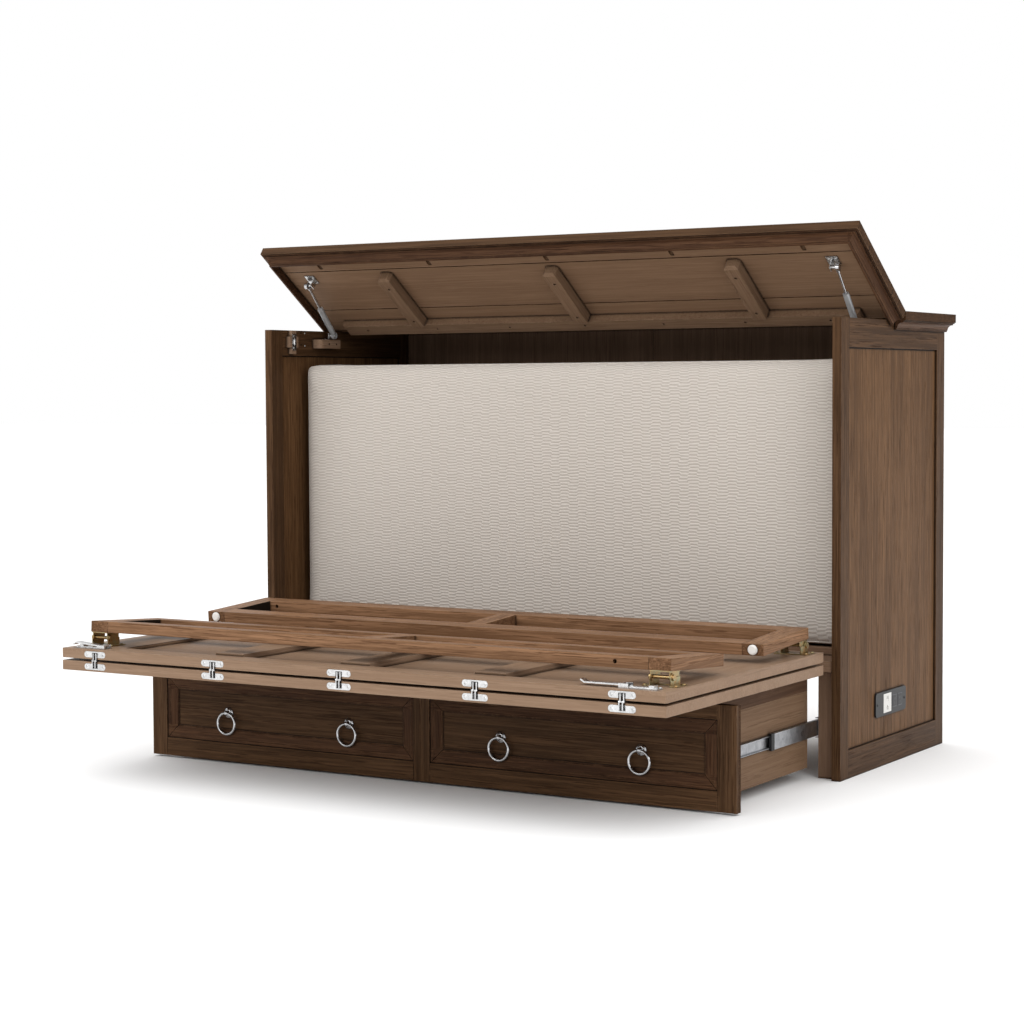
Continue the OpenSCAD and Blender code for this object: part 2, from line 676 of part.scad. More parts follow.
// Latches near the front corners, with a lever each
latch_x = 712;
latch_y = panel_y0 + 26;
latch_pin_x = latch_x - 43;
latch_pin_z = upper_top + 6;
module latch_bodies() color(steel) both() translate([0, latch_y, upper_top]) difference() {
    union() {
        box([latch_x - 33, -13, 0], [latch_x + 38, 13, 2.5]);
        box([latch_x - 26, -8, 0], [latch_x + 30, 8, 4]);
        box([latch_x + 18, -8, 0], [latch_x + 30, 8, 8]);
        for (s = [-1, 1]) translate([0, s * 10.5 - 1.5, 0]) {
            box([latch_pin_x - 5, 0, 0], [latch_x - 26, 3, 9]);
        }
        box([latch_pin_x - 5, -12, 0], [latch_x - 30, 12, 1.5]);
        translate([latch_pin_x, -12, latch_pin_z - upper_top]) rotate([-90, 0, 0]) cylinder(r = 1.5, h = 24);
    }
    for (x = [latch_x - 30, latch_x + 34], y = [-9.5, 9.5])
        translate([x, y, -1]) cylinder(r = 2, h = 5);
}
// The right lever lies inwards; the left one is folded out over its latch
lever_turn = 176;
module latch_lever(a) translate([latch_pin_x, latch_y, latch_pin_z]) rotate([0, a, 0]) difference() {
    union() {
        translate([0, -8.5, 0]) rotate([-90, 0, 0]) cylinder(r = 3.5, h = 17);
        translate([0, 8.5, 0]) rotate([90, 0, 0]) linear_extrude(17)
            polygon([[0, -1.5], [-84, -1.5], [-93.5, 4], [-92, 6.6], [-83.2, 1.5], [0, 1.5]]);
    }
    translate([0, -20, 0]) rotate([-90, 0, 0]) cylinder(r = 1.5 + run_gap, h = 40);
}
module latch_lever_right() color(steel) latch_lever(0);
module latch_lever_left() color(steel) mirror([1, 0, 0]) latch_lever(lever_turn);

// ---- Leg frames: drawn from the pivot, timber along +Y and above it ----
module leg_timber(holes) {
    y0 = -leg_end;
    y1 = leg_len - leg_end;
    z0 = leg_rise;
    z1 = leg_rise + leg_t;
    x1 = leg_frame_w / 2;
    both() box([x1 - leg_w, y0, z0], [x1, y1, z1]);
    difference() {
        for (y = [y0, y1 - leg_w]) box([leg_w - x1, y, z0], [x1 - leg_w, y + leg_w, z1]);
        for (x = holes) translate([x, y0 - 1, (z0 + z1) / 2])
            rotate([-90, 0, 0]) cylinder(r = 4.5, h = leg_w + 2);
    }
    box([-leg_w / 2, y0 + leg_w, z0], [leg_w / 2, y1 - leg_w, z1]);
}
ear_gap = 20;
module leg_ears() both() translate([ear_x, 0, 0]) difference() {
    union() {
        box([-ear_gap - steel_t, -leg_end, leg_rise - steel_t], [ear_gap + steel_t, 34, leg_rise]);
        for (x = [-ear_gap - steel_t, ear_gap]) translate([x, 0, 0]) {
            translate([0, 0, 0]) along_x(0, steel_t, 9);
            box([0, -9, 0], [steel_t, 30, leg_rise]);
        }
    }
    along_x(-40, 40, leg_pin_r + run_gap);
}
module leg_glides() both() translate([ear_x, leg_len - leg_end, leg_rise + leg_t / 2])
    rotate([-90, 0, 0]) {
        cylinder(d = glide_d, h = glide_h / 2);
        cylinder(d = glide_d - 5, h = glide_h);
    }
module front_leg_pose() translate([0, front_leg_y, leg_z]) rotate([-leg_tilt, 0, 0]) children();
module rear_leg_pose() translate([0, rear_leg_y, leg_z]) rotate([leg_tilt, 0, 0])
    mirror([0, 1, 0]) children();
module front_leg_frame() color(walnut) front_leg_pose() leg_timber([626]);
module front_leg_ears() color(zinc) front_leg_pose() leg_ears();
module front_leg_glides() color(ivory) front_leg_pose() leg_glides();
module rear_leg_frame() color(walnut) rear_leg_pose() leg_timber([-680, 680]);
module rear_leg_ears() color(zinc) rear_leg_pose() leg_ears();
module rear_leg_glides() color(ivory) rear_leg_pose() leg_glides();

// Fixed half of a leg bracket: a base with two ears outside the leg's own, and the pin
module leg_bracket() {
    out = ear_gap + steel_t + fine;
    difference() {
        for (s = [-1, 1]) {
            box([s > 0 ? out : -out - 16, -14, -pivot_h], [s > 0 ? out + 16 : -out, 34, -pivot_h + steel_t]);
            translate([s > 0 ? out : -out - steel_t, 0, 0]) {
                box([0, -9, -pivot_h], [steel_t, 30, 0]);
                along_x(0, steel_t, 9);
            }
        }
        for (s = [-1, 1], y = [-8, 26]) translate([s * (out + 10), y, -pivot_h - 1]) cylinder(r = 2.2, h = 5);
    }
    along_x(-out - steel_t - 2, out + steel_t + 2, leg_pin_r);
    for (s = [-1, 1]) translate([s * (out + steel_t + 1.5), 0, 0]) along_x(-1.5, 1.5, 6.5);
    box([-out, 16, -pivot_h], [out, 34, -pivot_h + steel_t]);
}
module leg_brackets() color(zinc) both() translate([ear_x, 0, leg_z]) {
    translate([0, front_leg_y, 0]) leg_bracket();
    translate([0, rear_leg_y, 0]) mirror([0, 1, 0]) leg_bracket();
}

// ---- Drawer ----
module drawer_front() color(walnut) {
    box([-drawer_w / 2, core_y, front_z], [drawer_w / 2, box_y, front_top]);
    difference() {
        box([-drawer_w / 2, drawer_y, front_z], [drawer_w / 2, core_y, front_top]);
        for (s = [-1, 1]) translate([s * half_mid, 0, 0])
            box([-(half_x1 - half_x0) / 2, drawer_y - 1, open_z0],
                [(half_x1 - half_x0) / 2, core_y, open_z1]);
        // joints between the stiles and the rails
        for (x = [-half_x1, -half_x0, half_x0, half_x1])
            box([x - 0.5, drawer_y - 1, front_z - 1], [x + 0.5, drawer_y + 1, front_top + 1]);
    }
}
// One mitred moulding frame: each length slopes down to the panel and is cut at 45 degrees
module mitred_frame(w, h, m, depth) {
    slope = [[0, 0], [m, 0], [m, 1.4], [m - 3, 1.8], [m - 3, 3], [8, 5], [7, depth], [0, depth]];
    module length(len) intersection() {
        linear_extrude(depth + 1) translate([-len / 2, 0]) polygon([[0, 0], [len, 0], [len - m, m], [m, m]]);
        translate([-len / 2 - 1, 0, 0]) rotate([90, 0, 90]) linear_extrude(len + 2) polygon(slope);
    }
    rotate([90, 0, 0]) for (a = [0, 90, 180, 270]) {
        len = a % 180 == 0 ? w : h;
        other = a % 180 == 0 ? h : w;
        rotate([0, 0, a]) translate([0, -other / 2, 0]) length(len - 1.6);
    }
}
module drawer_mouldings() color(walnut) for (s = [-1, 1])
    translate([s * half_mid, core_y, (open_z0 + open_z1) / 2])
        mitred_frame(half_x1 - half_x0 - 2, open_z1 - open_z0 - 2, mould_w - 1, face_t - mould_sink);

module drawer_box() color(painted) {
    both() box([box_w - box_t, box_y, box_z], [box_w, box_y + box_len, box_z + box_h]);
    box([-box_w + box_t, box_y + box_len - box_t, box_z + 13],
        [box_w - box_t, box_y + box_len, box_z + box_h]);
}
module drawer_bottom() color(painted)
    box([-box_w + box_t, box_y, box_z + 7], [box_w - box_t, box_y + box_len, box_z + 13]);
module drawer_bearers() color(dark) both()
    box([box_w - 2 * box_t, box_y + 1, box_z + box_h], [box_w, box_y + box_len, rail_z - 2]);

module ring_posts() color(steel) for (x = ring_xs) translate([x, 0, ring_z]) difference() {
    union() {
        translate([0, core_y, 0]) rotate([90, 0, 0]) cylinder(r = 12, h = 3);
        translate([0, core_y, 0]) rotate([90, 0, 0]) cylinder(r = 4, h = core_y - ring_y);
        translate([0, ring_y, 0]) along_x(-4, 4, eye_wall_r);
    }
    translate([0, ring_y, 0]) along_x(-10, 10, ring_d / 2 + 0.8);
}
module ring_pull(x) color(steel) translate([x, ring_y, ring_z - ring_r]) rotate([90, 0, 0])
    rotate_extrude() translate([ring_r, 0]) circle(d = ring_d);
module ring_pull_1() ring_pull(ring_xs[0]);
module ring_pull_2() ring_pull(ring_xs[1]);
module ring_pull_3() ring_pull(ring_xs[2]);
module ring_pull_4() ring_pull(ring_xs[3]);

// ---- Mattress: three plain slabs, folded like a letter ----
module mattress_slab(n) color(ticking)
    box([-mattress_w / 2, mattress_y + n * (mattress_t + mattress_gap), deck_z],
        [mattress_w / 2, mattress_y + n * (mattress_t + mattress_gap) + mattress_t, deck_z + mattress_h]);
module mattress_front() mattress_slab(0);
module mattress_middle() mattress_slab(1);
module mattress_back() mattress_slab(2);

in_frame() side_frames();
in_frame() side_infills();
in_frame() back_panel();
in_frame() top_rear_board();
in_frame() rear_crown();
in_frame() front_rail();
in_frame() deck();
in_frame() deck_cleats();
in_frame() drawer_fillers();
in_frame() slide_outers();
in_frame() strut_blocks();
in_frame() strut_lower_brackets();
in_frame() catch_blocks();
in_frame() roller_catches();
in_frame() power_plate();
in_frame() power_sockets();
in_frame() platform_hinge_brackets();
in_frame() lid_hinge_fixed();
in_frame() mattress_front();
in_frame() mattress_middle();
in_frame() mattress_back();
in_frame() lid_board();
in_frame() lid_crown();
in_frame() lid_battens();
in_frame() lid_strut_brackets();
in_frame() lid_hinge_leaves();
in_frame() strut_cylinder_left();
in_frame() strut_cylinder_right();
in_frame() strut_rod_left();
in_frame() strut_rod_right();
in_frame() slide_middle_left();
in_frame() slide_middle_right();
in_frame() lower_panel();
in_frame() lower_panel_face();
in_frame() platform_hinge_arms();
in_frame() fold_hinges_lower();
in_frame() upper_panel();
in_frame() upper_panel_battens();
in_frame() fold_hinges_upper();
in_frame() leg_brackets();
in_frame() latch_bodies();
in_frame() latch_lever_left();
in_frame() latch_lever_right();
in_frame() front_leg_frame();
in_frame() front_leg_ears();
in_frame() front_leg_glides();
in_frame() rear_leg_frame();
in_frame() rear_leg_ears();
in_frame() rear_leg_glides();
in_frame() drawer_front();
in_frame() drawer_mouldings();
in_frame() drawer_box();
in_frame() drawer_bottom();
in_frame() drawer_bearers();
in_frame() slide_inners();
in_frame() ring_posts();
in_frame() ring_pull_1();
in_frame() ring_pull_2();
in_frame() ring_pull_3();
in_frame() ring_pull_4();
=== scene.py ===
import math

import bmesh
import bpy
from mathutils import Matrix, Vector, noise


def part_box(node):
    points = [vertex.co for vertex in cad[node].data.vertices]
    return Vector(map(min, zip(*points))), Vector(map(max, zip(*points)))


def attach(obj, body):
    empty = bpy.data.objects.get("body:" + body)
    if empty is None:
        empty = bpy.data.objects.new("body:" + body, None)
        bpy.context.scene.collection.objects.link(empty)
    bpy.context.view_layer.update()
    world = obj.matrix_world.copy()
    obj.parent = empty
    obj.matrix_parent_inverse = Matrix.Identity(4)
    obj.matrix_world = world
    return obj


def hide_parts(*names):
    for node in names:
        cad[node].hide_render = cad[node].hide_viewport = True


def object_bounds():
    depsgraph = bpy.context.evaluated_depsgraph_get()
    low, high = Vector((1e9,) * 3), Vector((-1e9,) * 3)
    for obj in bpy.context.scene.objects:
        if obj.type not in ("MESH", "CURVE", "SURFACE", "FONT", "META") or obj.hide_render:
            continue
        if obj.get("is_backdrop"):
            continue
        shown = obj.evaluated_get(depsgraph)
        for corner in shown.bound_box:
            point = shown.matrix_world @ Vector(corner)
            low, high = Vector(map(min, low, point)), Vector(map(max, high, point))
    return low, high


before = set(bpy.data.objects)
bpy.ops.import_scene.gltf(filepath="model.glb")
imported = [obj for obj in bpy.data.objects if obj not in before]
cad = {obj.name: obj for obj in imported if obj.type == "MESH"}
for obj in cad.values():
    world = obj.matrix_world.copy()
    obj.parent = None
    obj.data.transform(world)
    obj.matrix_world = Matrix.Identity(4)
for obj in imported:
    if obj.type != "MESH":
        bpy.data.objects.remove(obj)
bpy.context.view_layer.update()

# ---------------------------------------------------------------------------
# Side frames: the two ends of the cabinet, each a frame of solid timber with
# full-height stiles and a rail between them at top and bottom. Open-grained
# wood, stained dark walnut under a satin lacquer, with lightly rubbed edges.


def put(tree, kind, feeds=None, **facts):
    """Adds a node. feeds maps an input's name or place to a value or to the output that feeds it."""
    made = tree.nodes.new(kind if "Node" in kind else "ShaderNode" + kind)
    for key, value in facts.items():
        setattr(made, key, value)
    for key, value in (feeds or {}).items():
        if isinstance(value, bpy.types.NodeSocket):
            tree.links.new(value, made.inputs[key])
        else:
            made.inputs[key].default_value = value
    return made


def sum_of(tree, operation, a, b=0.0, c=0.0, clamp=False):
    return put(tree, "Math", {0: a, 1: b, 2: c}, operation=operation, use_clamp=clamp).outputs[0]


def shade(tree, factor, a, b, how="MIX"):
    made = put(tree, "Mix", {0: factor, 6: a, 7: b}, data_type="RGBA", blend_type=how)
    return made.outputs[2]


def spread(tree, value, low, high, to_low=0.0, to_high=1.0):
    return put(tree, "MapRange", {0: value, 1: low, 2: high, 3: to_low, 4: to_high}).outputs[0]


def speckle(tree, vector, scales, detail, rough=0.55, twist=0.0):
    stretched = put(tree, "Mapping", {0: vector, 3: scales})
    made = put(tree, "TexNoise", {"Vector": stretched.outputs[0], "Scale": 1.0, "Detail": detail,
                                  "Roughness": rough, "Distortion": twist})
    return made.outputs[0]


def new_group(name, takes, gives):
    group = bpy.data.node_groups.new(name, "ShaderNodeTree")
    for label, kind, start in takes:
        socket = group.interface.new_socket(label, in_out="INPUT", socket_type="NodeSocket" + kind)
        if start is not None:
            socket.default_value = start
    for label, kind in gives:
        group.interface.new_socket(label, in_out="OUTPUT", socket_type="NodeSocket" + kind)
    source = group.nodes.new("NodeGroupInput").outputs
    result = group.nodes.new("NodeGroupOutput").inputs
    return group, source, result


# Where a surface turns over an edge: the rounded normal, how near the edge is, and how strongly painted
# shade darkens an inside corner, read from how closed in each point is.
edges, src, out = new_group(
    "eased edges",
    [("Radius", "Float", 0.0015), ("Seed", "Float", 0.0)],
    [("Normal", "Vector"), ("Edge", "Float"), ("Corner", "Float")],
)
rounded = put(edges, "Bevel", {"Radius": src[0]}, samples=4)
flat = put(edges, "NewGeometry").outputs["True Normal"]
turn = put(edges, "VectorMath", {0: rounded.outputs[0], 1: flat}, operation="DOT_PRODUCT").outputs["Value"]
near = spread(edges, turn, 0.99, 0.88)
# Painted shade: ambient occlusion picks out inside corners so that their colour can be darkened.
closed_in = put(edges, "AmbientOcclusion", {"Distance": 0.006}, samples=4).outputs["AO"]
where = put(edges, "TexCoord").outputs["Object"]
shift = put(edges, "VectorMath", {0: where, 1: src[1]}, operation="ADD").outputs[0]
patch = spread(edges, speckle(edges, shift, (31.0, 31.0, 31.0), 5.0, 0.75), 0.44, 0.60)
edges.links.new(rounded.outputs[0], out[0])
edges.links.new(sum_of(edges, "MULTIPLY", near, patch, clamp=True), out[1])
edges.links.new(spread(edges, closed_in, 0.92, 0.62), out[2])

# Grain that runs along the X of the coordinate it is given.
grain, src, out = new_group(
    "open grain",
    [("Vector", "Vector", None), ("Facing", "Vector", None), ("Light", "Color", None),
     ("Dark", "Color", None), ("Pores", "Float", 1.0), ("Seed", "Float", 0.0), ("Ends", "Float", 1.0)],
    [("Color", "Color"), ("Height", "Float"), ("Dry", "Float")],
)
moved = put(grain, "VectorMath", {0: src[0], 1: src[5]}, operation="ADD").outputs[0]
broad = speckle(grain, moved, (0.8, 22.0, 22.0), 5.0, 0.6, 0.5)
streak = speckle(grain, moved, (2.6, 150.0, 150.0), 5.0, 0.75, 0.2)
fibre = speckle(grain, moved, (9.0, 330.0, 330.0), 3.0, 0.65)
cloudy = speckle(grain, moved, (2.2, 5.0, 5.0), 3.0, 0.5)
tone = sum_of(grain, "MULTIPLY_ADD", broad, 0.34, sum_of(grain, "MULTIPLY", streak, 0.66))
tone = sum_of(grain, "MULTIPLY_ADD", cloudy, 0.12, tone)
hue = shade(grain, spread(grain, tone, 0.47, 0.65), src[3], src[2])
pore = sum_of(grain, "MULTIPLY", spread(grain, fibre, 0.52, 0.58), spread(grain, streak, 0.40, 0.56))
pore = sum_of(grain, "MULTIPLY", pore, src[4], clamp=True)
deep = shade(grain, 1.0, hue, (0.34, 0.29, 0.26, 1.0), "MULTIPLY")
hue = shade(grain, sum_of(grain, "MULTIPLY", pore, 0.85), hue, deep)
along = sum_of(grain, "ABSOLUTE", put(grain, "SeparateXYZ", {0: src[1]}).outputs[0])
end = sum_of(grain, "MULTIPLY", spread(grain, along, 0.85, 0.95), src[6])
rings = speckle(grain, moved, (60.0, 130.0, 900.0), 3.0)
cut = shade(grain, spread(grain, rings, 0.4, 0.65, 0.25, 0.9), deep, hue)
grain.links.new(shade(grain, end, hue, cut), out[0])
grain.links.new(sum_of(grain, "MULTIPLY_ADD", pore, -0.8, sum_of(grain, "MULTIPLY", streak, 0.35)), out[1])
grain.links.new(sum_of(grain, "MAXIMUM", sum_of(grain, "MULTIPLY", pore, 0.6), end), out[2])

SWAPS = {"x": (0, 1, 2), "y": (1, 0, 2), "z": (2, 1, 0)}
# The colour of the painted shade laid into inside corners.
PAINTED_CORNER_SHADE = (0.010, 0.006, 0.004, 1.0)
# The colour of the dark lines where boards meet, also used for painted shade lines in recesses.
JOINT_AND_SHADE_LINE = (0.012, 0.008, 0.006, 1.0)


def band(tree, parts, spans):
    """1 where every span (axis, low, high) holds. An axis with a leading + counts both sides of the
    middle."""
    whole = None
    for axis, low, high in spans:
        value = parts["xyz".index(axis[-1])]
        if axis[0] == "+":
            value = sum_of(tree, "ABSOLUTE", value)
        here = sum_of(tree, "COMPARE", value, (low + high) / 2, (high - low) / 2)
        whole = here if whole is None else sum_of(tree, "MULTIPLY", whole, here)
    return whole


def stained_wood(name, light, dark, runs="x", boards=(), joint_and_shade_lines=(), gloss=0.40, pores=1.0,
                 rub=(0.215, 0.118, 0.062, 1.0), rubbed=0.75, seed=0.0, radius=0.0015, ends=1.0,
                 laid=None, under=None, sheen=0.05, corner=0.9):
    """runs is the grain's main direction, boards lists (direction, spans) that run another way, and joints
    lists the spans of the dark lines where boards meet and of painted shade lines in recesses. laid turns a
    tilted part's places back to level, and under is the (light, dark) pair of its underside."""
    made = bpy.data.materials.new(name)
    made.use_nodes = True
    tree = made.node_tree
    tree.nodes.clear()
    coords = put(tree, "TexCoord").outputs
    place, outward = coords["Object"], coords["Normal"]
    if laid:
        turn_back = (laid.to_euler().x, 0.0, 0.0)
        place = put(tree, "Mapping", {0: place, 1: laid.translation, 2: turn_back}).outputs[0]
        outward = put(tree, "Mapping", {0: outward, 1: turn_back}, vector_type="NORMAL").outputs[0]
    split = put(tree, "SeparateXYZ", {0: place}).outputs
    facing = put(tree, "SeparateXYZ", {0: outward}).outputs

    def turned(parts, way):
        return put(tree, "CombineXYZ", dict(enumerate(parts[i] for i in SWAPS[way]))).outputs[0]

    vector, normal = turned(split, runs), turned(facing, runs)
    for number, (way, spans) in enumerate(boards):
        here = band(tree, split, spans)
        apart = put(tree, "VectorMath", {0: turned(split, way), 1: (0.7, 0.31 * number + 0.4, 0.9)},
                    operation="ADD").outputs[0]
        vector = put(tree, "Mix", {0: here, 4: vector, 5: apart}, data_type="VECTOR").outputs[1]
        onward = turned(facing, way)
        normal = put(tree, "Mix", {0: here, 4: normal, 5: onward}, data_type="VECTOR").outputs[1]
    if under:
        below = spread(tree, facing[2], -0.3, -0.7)
        light, dark = shade(tree, below, light, under[0]), shade(tree, below, dark, under[1])
    wood = put(tree, "Group", {"Vector": vector, "Facing": normal, "Light": light, "Dark": dark,
                               "Pores": pores, "Seed": seed, "Ends": ends}, node_tree=grain)
    ease = put(tree, "Group", {0: radius, 1: seed}, node_tree=edges)
    # Inside corners are darkened with painted shade, at the strength corner.
    corner_shaded = shade(tree, sum_of(tree, "MULTIPLY", ease.outputs[2], corner), wood.outputs[0], PAINTED_CORNER_SHADE)
    colour = shade(tree, sum_of(tree, "MULTIPLY", ease.outputs[1], rubbed), corner_shaded, rub)
    height = wood.outputs[1]
    # Dark lines where boards meet, and painted shade lines in recesses where these are listed.
    for spans in joint_and_shade_lines:
        line = band(tree, split, spans)
        colour = shade(tree, line, colour, JOINT_AND_SHADE_LINE)
        height = sum_of(tree, "MULTIPLY_ADD", line, -1.5, height)
    bump = put(tree, "Bump", {"Strength": 0.4, "Distance": 0.0005, "Height": height,
                              "Normal": ease.outputs[0]})
    shader = put(tree, "BsdfPrincipled", {
        "Base Color": colour, "Normal": bump.outputs[0], "Specular IOR Level": sheen,
        "Roughness": sum_of(tree, "MULTIPLY_ADD", wood.outputs[2], 0.22, gloss)})
    tree.links.new(shader.outputs[0], put(tree, "OutputMaterial").inputs[0])
    return made


def dress(material, *names):
    for name in names:
        cad[name].data.materials.clear()
        cad[name].data.materials.append(material)
        for face in cad[name].data.polygons:
            face.material_index = 0


LIGHT_WALNUT = (0.104, 0.054, 0.026, 1.0)
DARK_WALNUT = (0.048, 0.024, 0.011, 1.0)
STILES = (0.126, 0.666)     # the inner edges of the two stiles
RAILS = (("z", 0.968, 1.1), ("z", -0.1, 0.064))
dress(stained_wood(
    "walnut side frame", LIGHT_WALNUT, DARK_WALNUT, "z",
    boards=[("y", [rail, ("y", *STILES)]) for rail in RAILS],
    joint_and_shade_lines=[[("y", y - 0.0004, y + 0.0004), rail] for y in STILES for rail in RAILS]), "side_frames")

# ---------------------------------------------------------------------------
# Side panels: one thin veneered sheet held in the grooves of each side frame,
# with a seam down its middle where two leaves of veneer meet.
SEAM = ("y", 0.3956, 0.3960)
# The dark lines round the sheet's edges, where it sits back in the frame's grooves, are painted shade of
# that recess; the seam is a real joint.
RECESS_SHADE_LINES = (("z", 0.9652, 0.97), ("z", 0.06, 0.0654), ("y", 0.12, 0.1274), ("y", 0.6634, 0.67))
dress(stained_wood("walnut side sheet", (0.158, 0.082, 0.037, 1.0), (0.078, 0.038, 0.016, 1.0), "z",
                   joint_and_shade_lines=[[line] for line in (SEAM, *RECESS_SHADE_LINES)], seed=3.1, rubbed=0.0), "side_infills")

# ---------------------------------------------------------------------------
# Inside of the cabinet: back boards, rail and shelf, deck, cleats and slide
# boards. Plain sheet goods and softwood under one thin coat of dark stain.
THIN_STAIN = ((0.235, 0.145, 0.094, 1.0), (0.175, 0.106, 0.068, 1.0))
CLEAT_STAIN = ((0.125, 0.070, 0.042, 1.0), (0.075, 0.040, 0.024, 1.0))
for name, stain, runs, seed, pieces in (
        ("dark back boards", THIN_STAIN, "z", 5.0, ("back_panel", "drawer_fillers")),
        ("dark rail and deck", THIN_STAIN, "x", 5.7, ("front_rail", "deck")),
        ("dark cleats", CLEAT_STAIN, "y", 6.4, ("deck_cleats", "drawer_bearers"))):
    dress(stained_wood(name, *stain, runs, gloss=0.55, pores=0.5, rubbed=0.1, seed=seed), *pieces)

# ---------------------------------------------------------------------------
# Fixed top board and its crown moulding: solid walnut-stained boards that run
# the width of the cabinet, with the moulding run out in lengths and mitred.
CROWN_STAIN = ((0.100, 0.049, 0.025, 1.0), (0.042, 0.019, 0.010, 1.0))
CROWN_EDGE = 0.0008
dress(stained_wood("walnut top", LIGHT_WALNUT, DARK_WALNUT, "x", seed=8.0), "top_rear_board")
dress(stained_wood("walnut crown", *CROWN_STAIN, "y", seed=8.8, radius=CROWN_EDGE), "rear_crown")

# ---------------------------------------------------------------------------
# Lid: a board of glued planks with a walnut upper face and crown, and an
# underside, battens and ledge in the maker's beige-brown inside finish.
LIGHT_BEIGE = (0.272, 0.180, 0.120, 1.0)
DARK_BEIGE = (0.222, 0.142, 0.092, 1.0)
RUBBED_BEIGE = (0.40, 0.29, 0.205, 1.0)
UNDERSIDE = ((0.215, 0.132, 0.080, 1.0), (0.165, 0.098, 0.058, 1.0))
HINGE_LINE = Matrix.Translation((0, 0.387, 1.052))
LID_OPEN = math.radians(-35)
lid_tilt = HINGE_LINE @ Matrix.Rotation(LID_OPEN, 4, "X") @ HINGE_LINE.inverted()
lid_level = lid_tilt.inverted()
dress(stained_wood(
    "two-tone lid boards", LIGHT_WALNUT, DARK_WALNUT, "x", gloss=0.42, pores=0.3, seed=9.3,
    laid=lid_level, under=UNDERSIDE,
    joint_and_shade_lines=[[("y", y, y + 0.0025), ("z", 0.9, 1.0475)] for y in (0.1310, 0.2950)]), "lid_board")
dress(stained_wood("walnut lid crown", *CROWN_STAIN, "x", boards=[("y", [("+x", 0.8005, 0.83)])],
                   seed=10.0, radius=CROWN_EDGE, laid=lid_level), "lid_crown")
dress(stained_wood("beige-brown battens", (0.190, 0.118, 0.073, 1.0), (0.145, 0.088, 0.053, 1.0), "y",
                   boards=[("x", [("y", 0.345, 0.40)])], gloss=0.45, pores=0.6, laid=lid_level, ends=0.2,
                   rub=(0.36, 0.25, 0.17, 1.0), seed=10.6), "lid_battens")

# ---------------------------------------------------------------------------
# Steelwork: hinges, catches, strut fittings and latches are pressed from
# sheet and nickel plated, and the leg brackets are plated with yellow zinc.
metal_face, src, out = new_group(
    "rolled metal",
    [("Seed", "Float", 0.0), ("Finish", "Float", 0.28)],
    [("Roughness", "Float"), ("Height", "Float"), ("Tint", "Float")],
)
where = put(metal_face, "TexCoord").outputs["Object"]
where = put(metal_face, "VectorMath", {0: where, 1: src[0]}, operation="ADD").outputs[0]
drawn = speckle(metal_face, where, (60.0, 1400.0, 1400.0), 3.0)
stain = speckle(metal_face, where, (70.0, 70.0, 70.0), 4.0, 0.6, 0.8)
metal_face.links.new(sum_of(metal_face, "MULTIPLY_ADD", stain, 0.22, src[1]), out[0])
metal_face.links.new(drawn, out[1])
metal_face.links.new(stain, out[2])


def plated(name, low, high, finish=0.2, metallic=1.0, seed=0.0, radius=0.0004):
    made = bpy.data.materials.new(name)
    made.use_nodes = True
    tree = made.node_tree
    tree.nodes.clear()
    face = put(tree, "Group", {0: seed, 1: finish}, node_tree=metal_face)
    ease = put(tree, "Group", {0: radius, 1: seed}, node_tree=edges)
    colour = shade(tree, spread(tree, face.outputs[2], 0.35, 0.65), low, high)
    bump = put(tree, "Bump", {"Strength": 0.12, "Distance": 0.0002, "Height": face.outputs[1],
                              "Normal": ease.outputs[0]})
    shader = put(tree, "BsdfPrincipled", {
        "Base Color": colour, "Metallic": metallic, "Roughness": face.outputs[0], "Normal": bump.outputs[0]})
    tree.links.new(shader.outputs[0], put(tree, "OutputMaterial").inputs[0])
    return made


nickel = plated("nickel plate", (0.50, 0.50, 0.50, 1.0), (0.70, 0.70, 0.70, 1.0), 0.16)
galvanised = plated("galvanised slide steel", (0.30, 0.31, 0.33, 1.0), (0.46, 0.47, 0.49, 1.0), 0.20,
                    seed=2.0)
yellow_zinc = plated("yellow zinc", (0.42, 0.25, 0.10, 1.0), (0.34, 0.33, 0.20, 1.0), 0.24, seed=4.0)
chrome = plated("polished chrome", (0.46, 0.46, 0.47, 1.0), (0.54, 0.54, 0.55, 1.0), 0.03, seed=5.0)
dress(nickel, "strut_lower_brackets", "roller_catches", "platform_hinge_brackets", "platform_hinge_arms",
      "lid_hinge_fixed", "lid_hinge_leaves", "lid_strut_brackets", "fold_hinges_lower", "fold_hinges_upper",
      "latch_bodies", "latch_lever_left", "latch_lever_right")
dress(galvanised, "slide_outers", "slide_middle_left", "slide_middle_right", "slide_inners")
dress(yellow_zinc, "leg_brackets", "front_leg_ears", "rear_leg_ears")

# ---------------------------------------------------------------------------
# Screws: turned steel pan heads with a cross recess, one at every fixing
# hole. They are grown on the fixing points of each body.
screw_tree = bpy.data.node_groups.new("cross-head screws", "GeometryNodeTree")
screw_tree.interface.new_socket("Geometry", in_out="INPUT", socket_type="NodeSocketGeometry")
head_socket = screw_tree.interface.new_socket("Head radius", in_out="INPUT", socket_type="NodeSocketFloat")
metal_socket = screw_tree.interface.new_socket("Metal", in_out="INPUT", socket_type="NodeSocketMaterial")
screw_tree.interface.new_socket("Geometry", in_out="OUTPUT", socket_type="NodeSocketGeometry")
given = screw_tree.nodes.new("NodeGroupInput").outputs
top, depth, slot_length, slot_width, slot_rise = (
    sum_of(screw_tree, "MULTIPLY", given[1], share) for share in (0.72, 0.36, 1.05, 0.2, 0.64))
head = put(screw_tree, "GeometryNodeMeshCone", {
    "Vertices": 24, "Radius Top": top, "Radius Bottom": given[1], "Depth": depth})
slots = []
